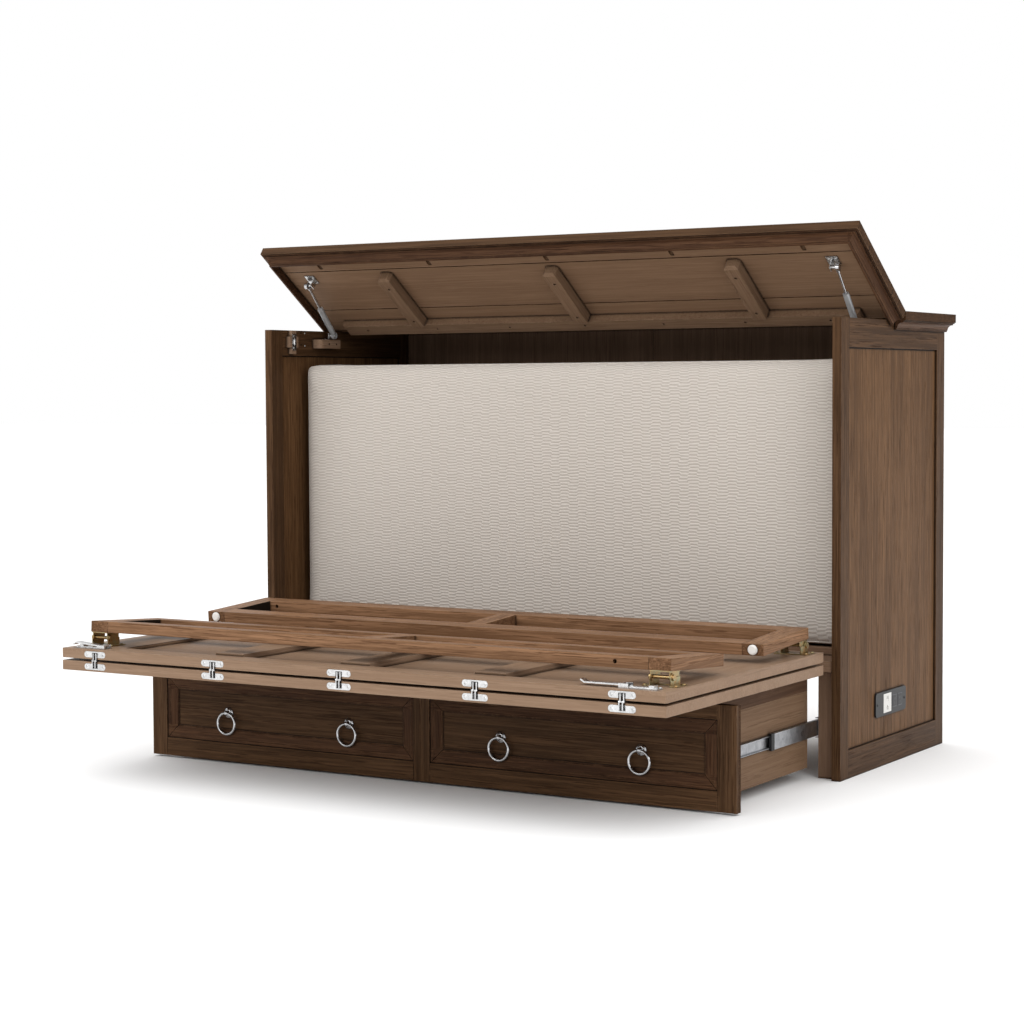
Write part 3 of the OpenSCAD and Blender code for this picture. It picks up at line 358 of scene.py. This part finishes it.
for turn_z in (0.0, math.pi / 2):
    size = put(screw_tree, "CombineXYZ", {0: slot_length, 1: slot_width, 2: given[1]}).outputs[0]
    cube = put(screw_tree, "GeometryNodeMeshCube", {"Size": size})
    lift = put(screw_tree, "CombineXYZ", {2: slot_rise}).outputs[0]
    slots.append(put(screw_tree, "GeometryNodeTransform", {
        "Geometry": cube.outputs[0], "Translation": lift, "Rotation": (0.0, 0.0, turn_z)}).outputs[0])
cross = put(screw_tree, "GeometryNodeMeshBoolean", operation="DIFFERENCE", solver="EXACT")
screw_tree.links.new(head.outputs["Mesh"], cross.inputs["Mesh 1"])
for piece in slots:
    screw_tree.links.new(piece, cross.inputs["Mesh 2"])
facing = put(screw_tree, "GeometryNodeInputNamedAttribute", {"Name": "out"}, data_type="FLOAT_VECTOR")
aim = put(screw_tree, "FunctionNodeAlignRotationToVector", {"Vector": facing.outputs[0]}, axis="Z")
set_on = put(screw_tree, "GeometryNodeInstanceOnPoints", {
    "Points": given[0], "Instance": cross.outputs[0], "Rotation": aim.outputs[0]})
real = put(screw_tree, "GeometryNodeRealizeInstances", {0: set_on.outputs[0]})
coat = put(screw_tree, "GeometryNodeSetMaterial", {0: real.outputs[0], "Material": given[2]})
screw_tree.links.new(coat.outputs[0], screw_tree.nodes.new("NodeGroupOutput").inputs[0])


def settle(name, grown):
    """The evaluated shape of an object as a plain mesh object at the origin."""
    bpy.context.view_layer.update()
    shape = bpy.data.meshes.new_from_object(grown.evaluated_get(bpy.context.evaluated_depsgraph_get()))
    shape.name = name
    bpy.data.objects.remove(grown)
    made = bpy.data.objects.new(name, shape)
    bpy.context.collection.objects.link(made)
    return made


def screws(name, spots, radius, body, metal):
    """spots lists (x, y, z, outward direction)."""
    cloud = bpy.data.meshes.new(name + " points")
    cloud.from_pydata([spot[:3] for spot in spots], [], [])
    ways = cloud.attributes.new("out", "FLOAT_VECTOR", "POINT")
    for entry, spot in zip(ways.data, spots):
        entry.vector = spot[3]
    seed_ob = bpy.data.objects.new(name + "_points", cloud)
    bpy.context.collection.objects.link(seed_ob)
    grow = seed_ob.modifiers.new("screws", "NODES")
    grow.node_group = screw_tree
    grow[head_socket.identifier] = radius
    grow[metal_socket.identifier] = metal
    made = settle(name, seed_ob)
    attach(made, body)
    return made


UP, DOWN, FORWARD = (0.0, 0.0, 1.0), (0.0, 0.0, -1.0), (0.0, -1.0, 0.0)


def on_lid(x, y, z, way):
    spot = lid_tilt @ Vector((x, y + 0.081, z))
    return (*spot, tuple(lid_tilt.to_3x3() @ Vector(way)))


SIDES = (-1, 1)
screws("lid_bracket_screws",
       [on_lid(s * x, 0.0755, 1.0318, DOWN) for s in SIDES for x in (0.7225, 0.7395)],
       0.0028, "lid", nickel)
for half, z in (("lower", 0.254), ("upper", 0.282)):
    screws("fold_hinge_screws_" + half,
           [(0.34 * i + 0.024 * s, -0.71145, z, FORWARD) for i in range(-2, 3) for s in SIDES],
           0.0042, half + "_half", nickel)
screws("bracket_screws",
       [(s * (0.727 + t * 0.0345), y, 0.2952, UP)
        for s in SIDES for t in (-1, 1) for y in (-0.64, -0.606, -0.023, 0.011)],
       0.0044, "upper_half", yellow_zinc)
screws("latch_screws",
       [(s * x, -0.686 + t * 0.0095, 0.2957, UP) for s in SIDES for x in (0.682, 0.746) for t in (-1, 1)],
       0.0034, "upper_half", nickel)
screws("platform_hinge_screws",
       [(x + t * 0.006, y, 0.2449, UP)
        for x in (-0.64, -0.25, 0.25, 0.64) for t in (-1, 1) for y in (0.000, 0.022)],
       0.0028, "lower_half", nickel)
screws("catch_and_strut_screws",
       [(s * 0.7655, 0.207, z, (-s, 0.0, 0.0)) for s in SIDES for z in (1.026, 0.994)]
       + [(s * 0.765, y, 1.013, UP) for s in SIDES for y in (0.293, 0.313)],
       0.0026, "cabinet", nickel)

# ---------------------------------------------------------------------------
# Gas struts: a grey enamelled cylinder and a hard-chromed rod, with pressed
# ball sockets that clip over the studs of the two brackets.
dress(plated("grey strut enamel", (0.34, 0.35, 0.36, 1.0), (0.42, 0.43, 0.44, 1.0), 0.26, 0.5, 6.0),
      "strut_cylinder_left", "strut_cylinder_right")
dress(plated("strut rod steel", (0.42, 0.42, 0.43, 1.0), (0.55, 0.55, 0.56, 1.0), 0.08, 1.0, 6.5),
      "strut_rod_left", "strut_rod_right")

# ---------------------------------------------------------------------------
# Blocks inside the side frames: small solid pieces in the beige-brown finish,
# glued and screwed on to carry the struts and the roller catches.
dress(stained_wood("beige-brown blocks", LIGHT_BEIGE, DARK_BEIGE, "y", ends=0.0, gloss=0.42, pores=0.5,
                   rub=RUBBED_BEIGE, seed=12.0), "strut_blocks", "catch_blocks")

# ---------------------------------------------------------------------------
# Platform, lower half: a stiff board in the beige-brown finish whose underside
# carries the walnut face that closes the cabinet's front.
dress(stained_wood("beige-brown platform", LIGHT_BEIGE, DARK_BEIGE, "x", ends=0.0, gloss=0.34, pores=0.35,
                   rub=RUBBED_BEIGE, rubbed=0.8, seed=13.0, radius=0.002), "lower_panel")
dress(stained_wood("walnut closed front", LIGHT_WALNUT, DARK_WALNUT, "x",
                   boards=[("y", [("+x", 0.733, 0.79)]), ("y", [("x", -0.022, 0.022)])], seed=14.0),
      "lower_panel_face")

# ---------------------------------------------------------------------------
# Platform, upper half: a board with a raised border and cross battens, which
# is the underside of the bed once it is unfolded.
dress(stained_wood("beige-brown upper board", LIGHT_BEIGE, DARK_BEIGE, "x", ends=0.0,
                   boards=[("y", [("+x", 0.640, 0.79), ("z", 0.2855, 0.30)])],
                   joint_and_shade_lines=[[("+x", 0.6397, 0.6401), ("z", 0.292, 0.30)]],
                   gloss=0.34, pores=0.35, rub=RUBBED_BEIGE, rubbed=0.8, seed=15.0, radius=0.002),
      "upper_panel")
dress(stained_wood("beige-brown cross battens", LIGHT_BEIGE, DARK_BEIGE, "y", ends=0.0, gloss=0.38,
                   pores=0.4, rub=RUBBED_BEIGE, rubbed=0.8, seed=16.0), "upper_panel_battens")

# ---------------------------------------------------------------------------
# Leg frames: bars of solid walnut-stained timber, the end bars running
# through so that their end grain shows, on white nylon glides.
for name, seed in (("front_leg_frame", 17.0), ("rear_leg_frame", 18.3)):
    low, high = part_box(name)
    dress(stained_wood(
        "walnut " + name.replace("_", " "), (0.300, 0.165, 0.090, 1.0), (0.150, 0.078, 0.040, 1.0), "x",
        boards=[("y", [("+x", 0.702, 0.76)]),
                ("y", [("x", -0.025, 0.025), ("y", low[1] + 0.051, high[1] - 0.051)])],
        joint_and_shade_lines=[[("+x", 0.7015, 0.7023)]], rubbed=0.7, radius=0.0025, seed=seed), name)


def moulded(name, colour, rough, seed=0.0, texture=700.0, bump_by=0.08):
    made = bpy.data.materials.new(name)
    made.use_nodes = True
    tree = made.node_tree
    tree.nodes.clear()
    where = put(tree, "TexCoord").outputs["Object"]
    fine = speckle(tree, where, (texture, texture, texture), 2.0)
    ease = put(tree, "Group", {0: 0.0007, 1: seed}, node_tree=edges)
    bump = put(tree, "Bump", {"Strength": bump_by, "Distance": 0.0002, "Height": fine,
                              "Normal": ease.outputs[0]})
    worn = tuple(min(1.0, c * 1.5 + 0.02) for c in colour[:3]) + (1.0,)
    hue = shade(tree, ease.outputs[1], colour, worn)
    shader = put(tree, "BsdfPrincipled", {
        "Base Color": hue, "Normal": bump.outputs[0], "Specular IOR Level": 0.25,
        "Roughness": sum_of(tree, "MULTIPLY_ADD", fine, 0.1, rough)})
    tree.links.new(shader.outputs[0], put(tree, "OutputMaterial").inputs[0])
    return made


dress(moulded("white nylon", (0.82, 0.81, 0.78, 1.0), 0.35), "front_leg_glides", "rear_leg_glides")

# ---------------------------------------------------------------------------
# Drawer: a framed walnut front with mitred mouldings on a box of beige-brown
# boards, running on full-extension ball slides.
PANEL_DEPTH = ("y", -0.3945, -0.38)
dress(stained_wood(
    "walnut drawer front", LIGHT_WALNUT, DARK_WALNUT, "x",
    boards=[("z", [("+x", 0.733, 0.79), ("y", -0.5, -0.3925)]),
            ("z", [("x", -0.022, 0.022), ("y", -0.5, -0.3925)])],
    # These lines round the sunk panel are partly its joint with the mouldings and partly painted shade in
    # the panel's recess.
    joint_and_shade_lines=[[("z", z - 0.001, z + 0.001), PANEL_DEPTH, ("+x", 0.053, 0.702)] for z in (0.080, 0.165)]
    + [[("+x", x - 0.001, x + 0.001), PANEL_DEPTH, ("z", 0.079, 0.166)] for x in (0.054, 0.701)],
    seed=20.0), "drawer_front")
dress(stained_wood("walnut drawer mouldings", (0.096, 0.046, 0.023, 1.0), (0.040, 0.018, 0.009, 1.0), "x",
                   boards=[("z", [("z", 0.081, 0.165), ("+x", 0.0, 0.0545)]),
                           ("z", [("z", 0.081, 0.165), ("+x", 0.70, 0.79)])], seed=21.0,
                   # The dark lines along the mouldings' edges are partly joints and partly painted shade in
                   # the grooves beside them.
                   joint_and_shade_lines=[[("z", 0.040, 0.0495)], [("z", 0.1955, 0.205)],
                           [("+x", 0.0, 0.0235)], [("+x", 0.7315, 0.74)]],
                   radius=0.002), "drawer_mouldings")
dress(stained_wood("beige-brown drawer box", (0.190, 0.118, 0.072, 1.0), (0.150, 0.090, 0.053, 1.0), "y",
                   boards=[("x", [("y", 0.057, 0.08)])], gloss=0.5, pores=0.45, ends=0.0,
                   rub=RUBBED_BEIGE, seed=22.0), "drawer_box", "drawer_bottom")

# ---------------------------------------------------------------------------
# Drawer slides: three-part ball slides of galvanised steel, each middle member
# with a black moulded clip that holds its front end.


def block(name, low, high, material, body, ease=0.0008):
    """A small bevelled block."""
    bm = bmesh.new()
    bmesh.ops.create_cube(bm, size=1.0)
    for vert in bm.verts:
        vert.co = [(low[k] + high[k]) / 2 + vert.co[k] * (high[k] - low[k]) for k in range(3)]
    bmesh.ops.bevel(bm, geom=bm.edges[:], offset=ease, segments=2, profile=0.5, affect="EDGES")
    shape = bpy.data.meshes.new(name)
    bm.to_mesh(shape)
    bm.free()
    made = bpy.data.objects.new(name, shape)
    bpy.context.collection.objects.link(made)
    shape.materials.append(material)
    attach(made, body)
    return made


black = moulded("black plastic", (0.010, 0.010, 0.011, 1.0), 0.30, 1.0)
for side, mark in ((-1, "left"), (1, "right")):
    low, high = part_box("slide_middle_" + mark)
    face = side * max(abs(low[0]), abs(high[0]))
    near, far = sorted((face - side * 0.006, face + side * 0.0004))
    block("slide_clip_" + mark, (near, low[1] - 0.004, low[2] - 0.0015),
          (far, low[1] + 0.012, high[2] + 0.0015), black, "slide_middle_" + mark)

# ---------------------------------------------------------------------------
# Ring pulls: a cast ring of round wire in a turned knob on a small rosette,
# all bright chrome.


def lathe(name, profile, place, axis, steps=48):
    """Turns (radius, height) pairs round the axis at place."""
    bm = bmesh.new()
    angles = [2 * math.pi * k / steps for k in range(steps)]
    rows = []
    for radius, height in profile:
        places = [(radius * math.cos(a), radius * math.sin(a), height) for a in angles]
        rows.append([bm.verts.new(spot) for spot in (places if radius else places[:1])])
    for low, high in zip(rows, rows[1:]):
        for k in range(steps):
            j = (k + 1) % steps
            if len(low) == 1:
                bm.faces.new((low[0], high[k], high[j]))
            elif len(high) == 1:
                bm.faces.new((low[k], low[j], high[0]))
            else:
                bm.faces.new((low[k], low[j], high[j], high[k]))
    bmesh.ops.recalc_face_normals(bm, faces=bm.faces)
    turn_to = Vector((0, 0, 1)).rotation_difference(Vector(axis)).to_matrix().to_4x4()
    bm.transform(Matrix.Translation(place) @ turn_to)
    shape = bpy.data.meshes.new(name)
    bm.to_mesh(shape)
    bm.free()
    shape.shade_smooth()
    made = bpy.data.objects.new(name, shape)
    bpy.context.collection.objects.link(made)
    return made


def round_tube(name, path, radius, sides):
    """A closed round tube along a path that lies nearly in one plane facing the front."""
    bm = bmesh.new()
    loops = []
    for k, here in enumerate(path):
        along = (path[(k + 1) % len(path)] - path[k - 1]).normalized()
        outward = along.cross(Vector((0, 1, 0))).normalized()
        deep = outward.cross(along)
        loops.append([bm.verts.new(here + radius * (math.cos(b) * outward + math.sin(b) * deep))
                      for b in (2 * math.pi * i / sides for i in range(sides))])
    for a, b in zip(loops, loops[1:] + loops[:1]):
        for i in range(sides):
            bm.faces.new((a[i], a[(i + 1) % sides], b[(i + 1) % sides], b[i]))
    bmesh.ops.recalc_face_normals(bm, faces=bm.faces)
    shape = bpy.data.meshes.new(name)
    bm.to_mesh(shape)
    bm.free()
    shape.shade_smooth()
    made = bpy.data.objects.new(name, shape)
    bpy.context.collection.objects.link(made)
    return made


ring_radius, wire_radius, around = 0.025, 0.003, 72
eye_z = 0.119
KNOB = (
    (0.0, -0.0005), (0.0122, -0.0005), (0.0124, 0.0008), (0.0116, 0.0016), (0.0102, 0.0018),
    (0.0094, 0.0028), (0.0066, 0.0034), (0.0046, 0.0040), (0.0036, 0.0052), (0.0038, 0.0062),
    (0.0052, 0.0074), (0.0058, 0.0092), (0.0056, 0.0112), (0.0044, 0.0130), (0.0022, 0.0140), (0.0, 0.0142))
rosettes = []
for number, x in enumerate((-0.5515, -0.2035, 0.2035, 0.5515), 1):
    middle = Vector((x, -0.403, eye_z - ring_radius))
    circle = [middle + ring_radius * Vector((math.sin(a), 0.0, math.cos(a)))
              for a in (2 * math.pi * k / around for k in range(around))]
    pull = round_tube(f"chrome_ring_{number}", circle, wire_radius, 18)
    pull.data.materials.append(chrome)
    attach(pull, f"ring_pull_{number}")
    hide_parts(f"ring_pull_{number}")
    rosettes.append(lathe(f"rosette_{number}", KNOB, (x, -0.393, eye_z), FORWARD))
for piece in rosettes:
    piece.data.materials.append(chrome)
    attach(piece, "drawer")
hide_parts("ring_posts")

# ---------------------------------------------------------------------------
# Power outlet: a black plate let into the right-hand side panel, with one
# ivory receptacle and a pair of charging ports beside it.
dress(black, "power_plate")
ivory = moulded("ivory receptacle", (0.70, 0.69, 0.66, 1.0), 0.34, 2.0)
dress(ivory, "power_sockets")
port_grey = moulded("grey port rim", (0.10, 0.10, 0.11, 1.0), 0.35, 3.0)


def outlet_piece(name, y, z, half_width, half_height, sunk, proud, material, ease):
    """A block on the outer face of the box in high, from sunk below that face to proud of it."""
    block(name, (high[0] - sunk, y - half_width, z - half_height),
          (high[0] + proud, y + half_width, z + half_height), material, "cabinet", ease)


low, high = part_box("power_plate")
middle = (low[2] + high[2]) / 2
for number, y in enumerate((high[1] - 0.072, high[1] - 0.038), 1):
    outlet_piece(f"port_rim_{number}", y, middle, 0.0125, 0.0145, 0.001, 0.0006, port_grey, 0.0004)
    outlet_piece(f"port_well_{number}", y, middle, 0.0112, 0.0132, 0.001, 0.0008, black, 0.0003)
    for mark, across, up in (("a", -0.004, 0.004), ("b", 0.004, 0.004), ("c", 0.0, -0.006)):
        outlet_piece(f"port_slot_{number}{mark}", y + across, middle + up, 0.0010, 0.0030, 0.0, 0.0010,
                     port_grey, 0.0002)
screws("plate_screws", [(high[0], y, middle, (1.0, 0.0, 0.0)) for y in (low[1] + 0.010, high[1] - 0.010)],
       0.0030, "cabinet", black)
low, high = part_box("power_sockets")
for row, up in (("low", -0.0125), ("high", 0.0125)):
    for mark, across in (("left", -0.0032), ("right", 0.0032)):
        outlet_piece(f"blade_slot_{row}_{mark}", (low[1] + high[1]) / 2 + across,
                     (low[2] + high[2]) / 2 + up, 0.0006, 0.0036, 0.001, 0.0003, black, 0.0001)

# ---------------------------------------------------------------------------
# Mattress: foam in a knitted cover, folded in three and stood on the deck.
# Its cover has a fine raised ripple, and covered cords run round the two rims
# of each third.
ticking = bpy.data.materials.new("rippled ticking")
ticking.use_nodes = True
tree = ticking.node_tree
tree.nodes.clear()
split = put(tree, "SeparateXYZ", {0: put(tree, "TexCoord").outputs["Object"]}).outputs
height = sum_of(tree, "ADD", split[2], split[1])
cloth_at = put(tree, "CombineXYZ", {0: split[0], 1: height}).outputs[0]
sway = speckle(tree, cloth_at, (26.0, 50.0, 1.0), 2.0, 0.5)
column = sum_of(tree, "MULTIPLY_ADD", sway, 3.0, sum_of(tree, "MULTIPLY", split[0], 125.0))
side = sum_of(tree, "MULTIPLY", sum_of(tree, "SINE", column), 6.0)
side = sum_of(tree, "MAXIMUM", sum_of(tree, "MINIMUM", side, 1.0), -1.0)
phase = sum_of(tree, "MULTIPLY_ADD", side, 1.57, sum_of(tree, "MULTIPLY", height, 830.0))
phase = sum_of(tree, "MULTIPLY_ADD", sway, 3.5, phase)
ripple = sum_of(tree, "MULTIPLY_ADD", sum_of(tree, "SINE", phase), 0.5, 0.5)
knit_u = sum_of(tree, "SINE", sum_of(tree, "MULTIPLY", split[0], 4200.0))
knit_v = sum_of(tree, "SINE", sum_of(tree, "MULTIPLY", height, 4200.0))
knit = sum_of(tree, "MULTIPLY", knit_u, knit_v)
mottle = speckle(tree, cloth_at, (9.0, 9.0, 9.0), 3.0)
# The cover is painted darker in the ripple's troughs and lighter on its crests: painted shade and painted
# light of the ripple.
colour = shade(tree, spread(tree, ripple, 0.15, 0.7), (0.450, 0.402, 0.358, 1.0),
               (0.575, 0.528, 0.480, 1.0))
colour = shade(tree, spread(tree, mottle, 0.35, 0.65, 0.0, 0.12), colour, (0.50, 0.46, 0.40, 1.0))
lift = sum_of(tree, "MULTIPLY_ADD", knit, 0.06, ripple)
bump = put(tree, "Bump", {"Strength": 0.55, "Distance": 0.0014, "Height": lift})
shader = put(tree, "BsdfPrincipled", {
    "Base Color": colour, "Roughness": 0.88, "Normal": bump.outputs[0], "Specular IOR Level": 0.2,
    "Sheen Weight": 0.18, "Sheen Roughness": 0.5})
tree.links.new(shader.outputs[0], put(tree, "OutputMaterial").inputs[0])


def foam_third(name, low, high, inset, cap, voxel):
    """A rounded block of foam that swells under its cover and is held to its place by its neighbours."""
    low = [v + inset for v in low]
    high = [v - inset for v in high]
    low[2] -= inset
    bm = bmesh.new()
    bmesh.ops.create_cube(bm, size=1.0)
    for vert in bm.verts:
        vert.co = [(low[k] + high[k]) / 2 + vert.co[k] * (high[k] - low[k]) for k in range(3)]
    bmesh.ops.bevel(bm, geom=bm.edges[:], offset=0.020, segments=4, profile=0.5, affect="EDGES")
    shape = bpy.data.meshes.new(name)
    bm.to_mesh(shape)
    bm.free()
    foam = bpy.data.objects.new(name, shape)
    bpy.context.collection.objects.link(foam)
    skin = foam.modifiers.new("skin", "REMESH")
    skin.mode, skin.voxel_size, skin.use_smooth_shade = "VOXEL", voxel, True
    foam = settle(name, foam)
    before = [v.co.copy() for v in foam.data.vertices]
    cloth = foam.modifiers.new("swell", "CLOTH")
    cloth.settings.use_pressure = True
    cloth.settings.uniform_pressure_force = 4.0
    cloth.settings.effector_weights.gravity = 0.0
    cloth.settings.tension_stiffness = 12.0
    cloth.point_cache.frame_start, cloth.point_cache.frame_end = 1, 12
    for step in range(1, 13):
        bpy.context.scene.frame_set(step)
    foam = settle(name, foam)
    bpy.context.scene.frame_set(1)
    for vert, start in zip(foam.data.vertices, before):
        go = vert.co - start
        soft = noise.noise(start * 5.5) * 0.0012
        if go.length > cap:
            go *= cap / go.length
        vert.co = start + go + Vector((0, -soft, 0))
        vert.co.z = max(vert.co.z, low[2])
    foam.data.shade_smooth()
    foam.data.materials.clear()
    foam.data.materials.append(ticking)
    return foam


def piping(name, foam, low, high, face, way):
    """A covered cord sewn round the rim of one face, laid where the swollen cover really is."""
    centre = Vector(((low[0] + high[0]) / 2, (low[1] + high[1]) / 2, (low[2] + high[2]) / 2))
    reach = Vector(((high[0] - low[0]) / 2 - 0.03, 0.0, (high[2] - low[2]) / 2 - 0.03))
    path = []
    for sx, sz, start in ((1, 1, 0.0), (-1, 1, 90.0), (-1, -1, 180.0), (1, -1, 270.0)):
        pivot = Vector((centre.x + sx * reach.x, face - way * 0.03, centre.z + sz * reach.z))
        following = Vector((centre.x + (-sx if sx * sz > 0 else sx) * reach.x, pivot.y,
                            centre.z + (sz if sx * sz > 0 else -sz) * reach.z))
        turns = [(pivot, math.radians(start + 90.0 * k / 8)) for k in range(9)]
        count = max(2, int((following - pivot).length / 0.02))
        turns += [(pivot.lerp(following, k / count), math.radians(start + 90.0)) for k in range(1, count)]
        for origin, angle in turns:
            aim = Vector((math.cos(angle), way, math.sin(angle))).normalized()
            hit, spot = foam.ray_cast(origin, aim)[:2]
            path.append(spot if hit else origin + aim * 0.034)
    for again in range(3):
        path = [(path[k - 1] + 2 * path[k] + path[(k + 1) % len(path)]) / 4 for k in range(len(path))]
    for spot in path:
        spot.y = min(max(spot.y, low[1] + 0.003), high[1] - 0.003)
        spot.z = max(spot.z, low[2] + 0.003)
    made = round_tube(name, path, 0.0024, 8)
    made.data.materials.append(ticking)
    return made


ROOM = 0.005     # left all round each third for its cover to swell into
for where, voxel in (("front", 0.013), ("middle", 0.017), ("back", 0.017)):
    name, node_name = where + "_third", "mattress_" + where
    low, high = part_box(node_name)
    third = foam_third(name, low, high, ROOM, ROOM, voxel)
    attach(third, "cabinet")
    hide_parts(node_name)
    for rim, face, way in (("front", low[1] + ROOM, -1.0), ("back", high[1] - ROOM, 1.0)):
        cord = piping(f"{name}_{rim}_piping", third, low, high, face, way)
        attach(cord, "cabinet")

# ---------------------------------------------------------------------------
# Floor, lights and camera: a pale sweep under soft studio light.
floor_mesh = bpy.data.meshes.new("studio floor")
floor_mesh.from_pydata([(-40, -40, 0), (40, -40, 0), (40, 40, 0), (-40, 40, 0)], [], [(0, 1, 2, 3)])
floor = bpy.data.objects.new("studio_floor", floor_mesh)
bpy.context.collection.objects.link(floor)
pale = bpy.data.materials.new("pale floor")
pale.use_nodes = True
pale.node_tree.nodes["Principled BSDF"].inputs["Base Color"].default_value = (0.93, 0.93, 0.93, 1.0)
pale.node_tree.nodes["Principled BSDF"].inputs["Roughness"].default_value = 0.9
floor_mesh.materials.append(pale)
floor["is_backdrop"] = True

world = bpy.data.worlds.new("studio")
bpy.context.scene.world = world
world.use_nodes = True
sky = world.node_tree
sky.nodes.clear()
way_up = put(sky, "SeparateXYZ", {0: put(sky, "TexCoord").outputs["Generated"]}).outputs[2]
WHITE = (1.0, 1.0, 1.0, 1.0)
strength = spread(sky, way_up, 0.0, 0.95, 0.42, 1.75)
dome = put(sky, "Background", {0: WHITE, 1: strength}).outputs[0]
wall = put(sky, "Background", {0: WHITE, 1: 1.0}).outputs[0]
seen = put(sky, "LightPath").outputs["Is Camera Ray"]
lit = put(sky, "MixShader", {0: seen, 1: dome, 2: wall}).outputs[0]
sky.links.new(lit, put(sky, "OutputWorld").inputs[0])


def soft_box(name, place, target, size, power):
    lamp = bpy.data.lights.new(name, "AREA")
    lamp.shape, lamp.size, lamp.size_y, lamp.energy = "RECTANGLE", size[0], size[1], power
    made = bpy.data.objects.new(name, lamp)
    bpy.context.collection.objects.link(made)
    made.location = place
    made.rotation_euler = (Vector(target) - Vector(place)).to_track_quat("-Z", "Y").to_euler()


soft_box("front light", (-1.6, -4.6, 2.6), (0, 0, 0.6), (2.6, 2.2), 58)
soft_box("side light", (4.2, -2.2, 2.2), (0.8, 0.2, 0.5), (2.0, 2.0), 42)

CAMERA_PLACE = (2.7782, -4.5400, 0.8785)
CAMERA_TURNS = (31.516, 3.029, -0.289)     # yaw, pitch and roll in degrees
lens = bpy.data.cameras.new("camera")
lens.sensor_width, lens.lens = 36.0, 79.063
lens.clip_start, lens.clip_end = 0.1, 200.0
camera = bpy.data.objects.new("camera", lens)
bpy.context.collection.objects.link(camera)
yaw, pitch, roll = (math.radians(a) for a in CAMERA_TURNS)
ahead = Vector((-math.sin(yaw) * math.cos(pitch), math.cos(yaw) * math.cos(pitch), -math.sin(pitch)))
level = Vector((math.cos(yaw), math.sin(yaw), 0.0))
over = level.cross(ahead)
across = math.cos(roll) * level + math.sin(roll) * over
upward = -math.sin(roll) * level + math.cos(roll) * over
facing = Matrix((across, upward, -ahead)).transposed().to_4x4()
camera.matrix_world = Matrix.Translation(CAMERA_PLACE) @ facing
bpy.context.scene.camera = camera
bpy.context.scene.view_settings.view_transform = "Standard"

low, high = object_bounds()
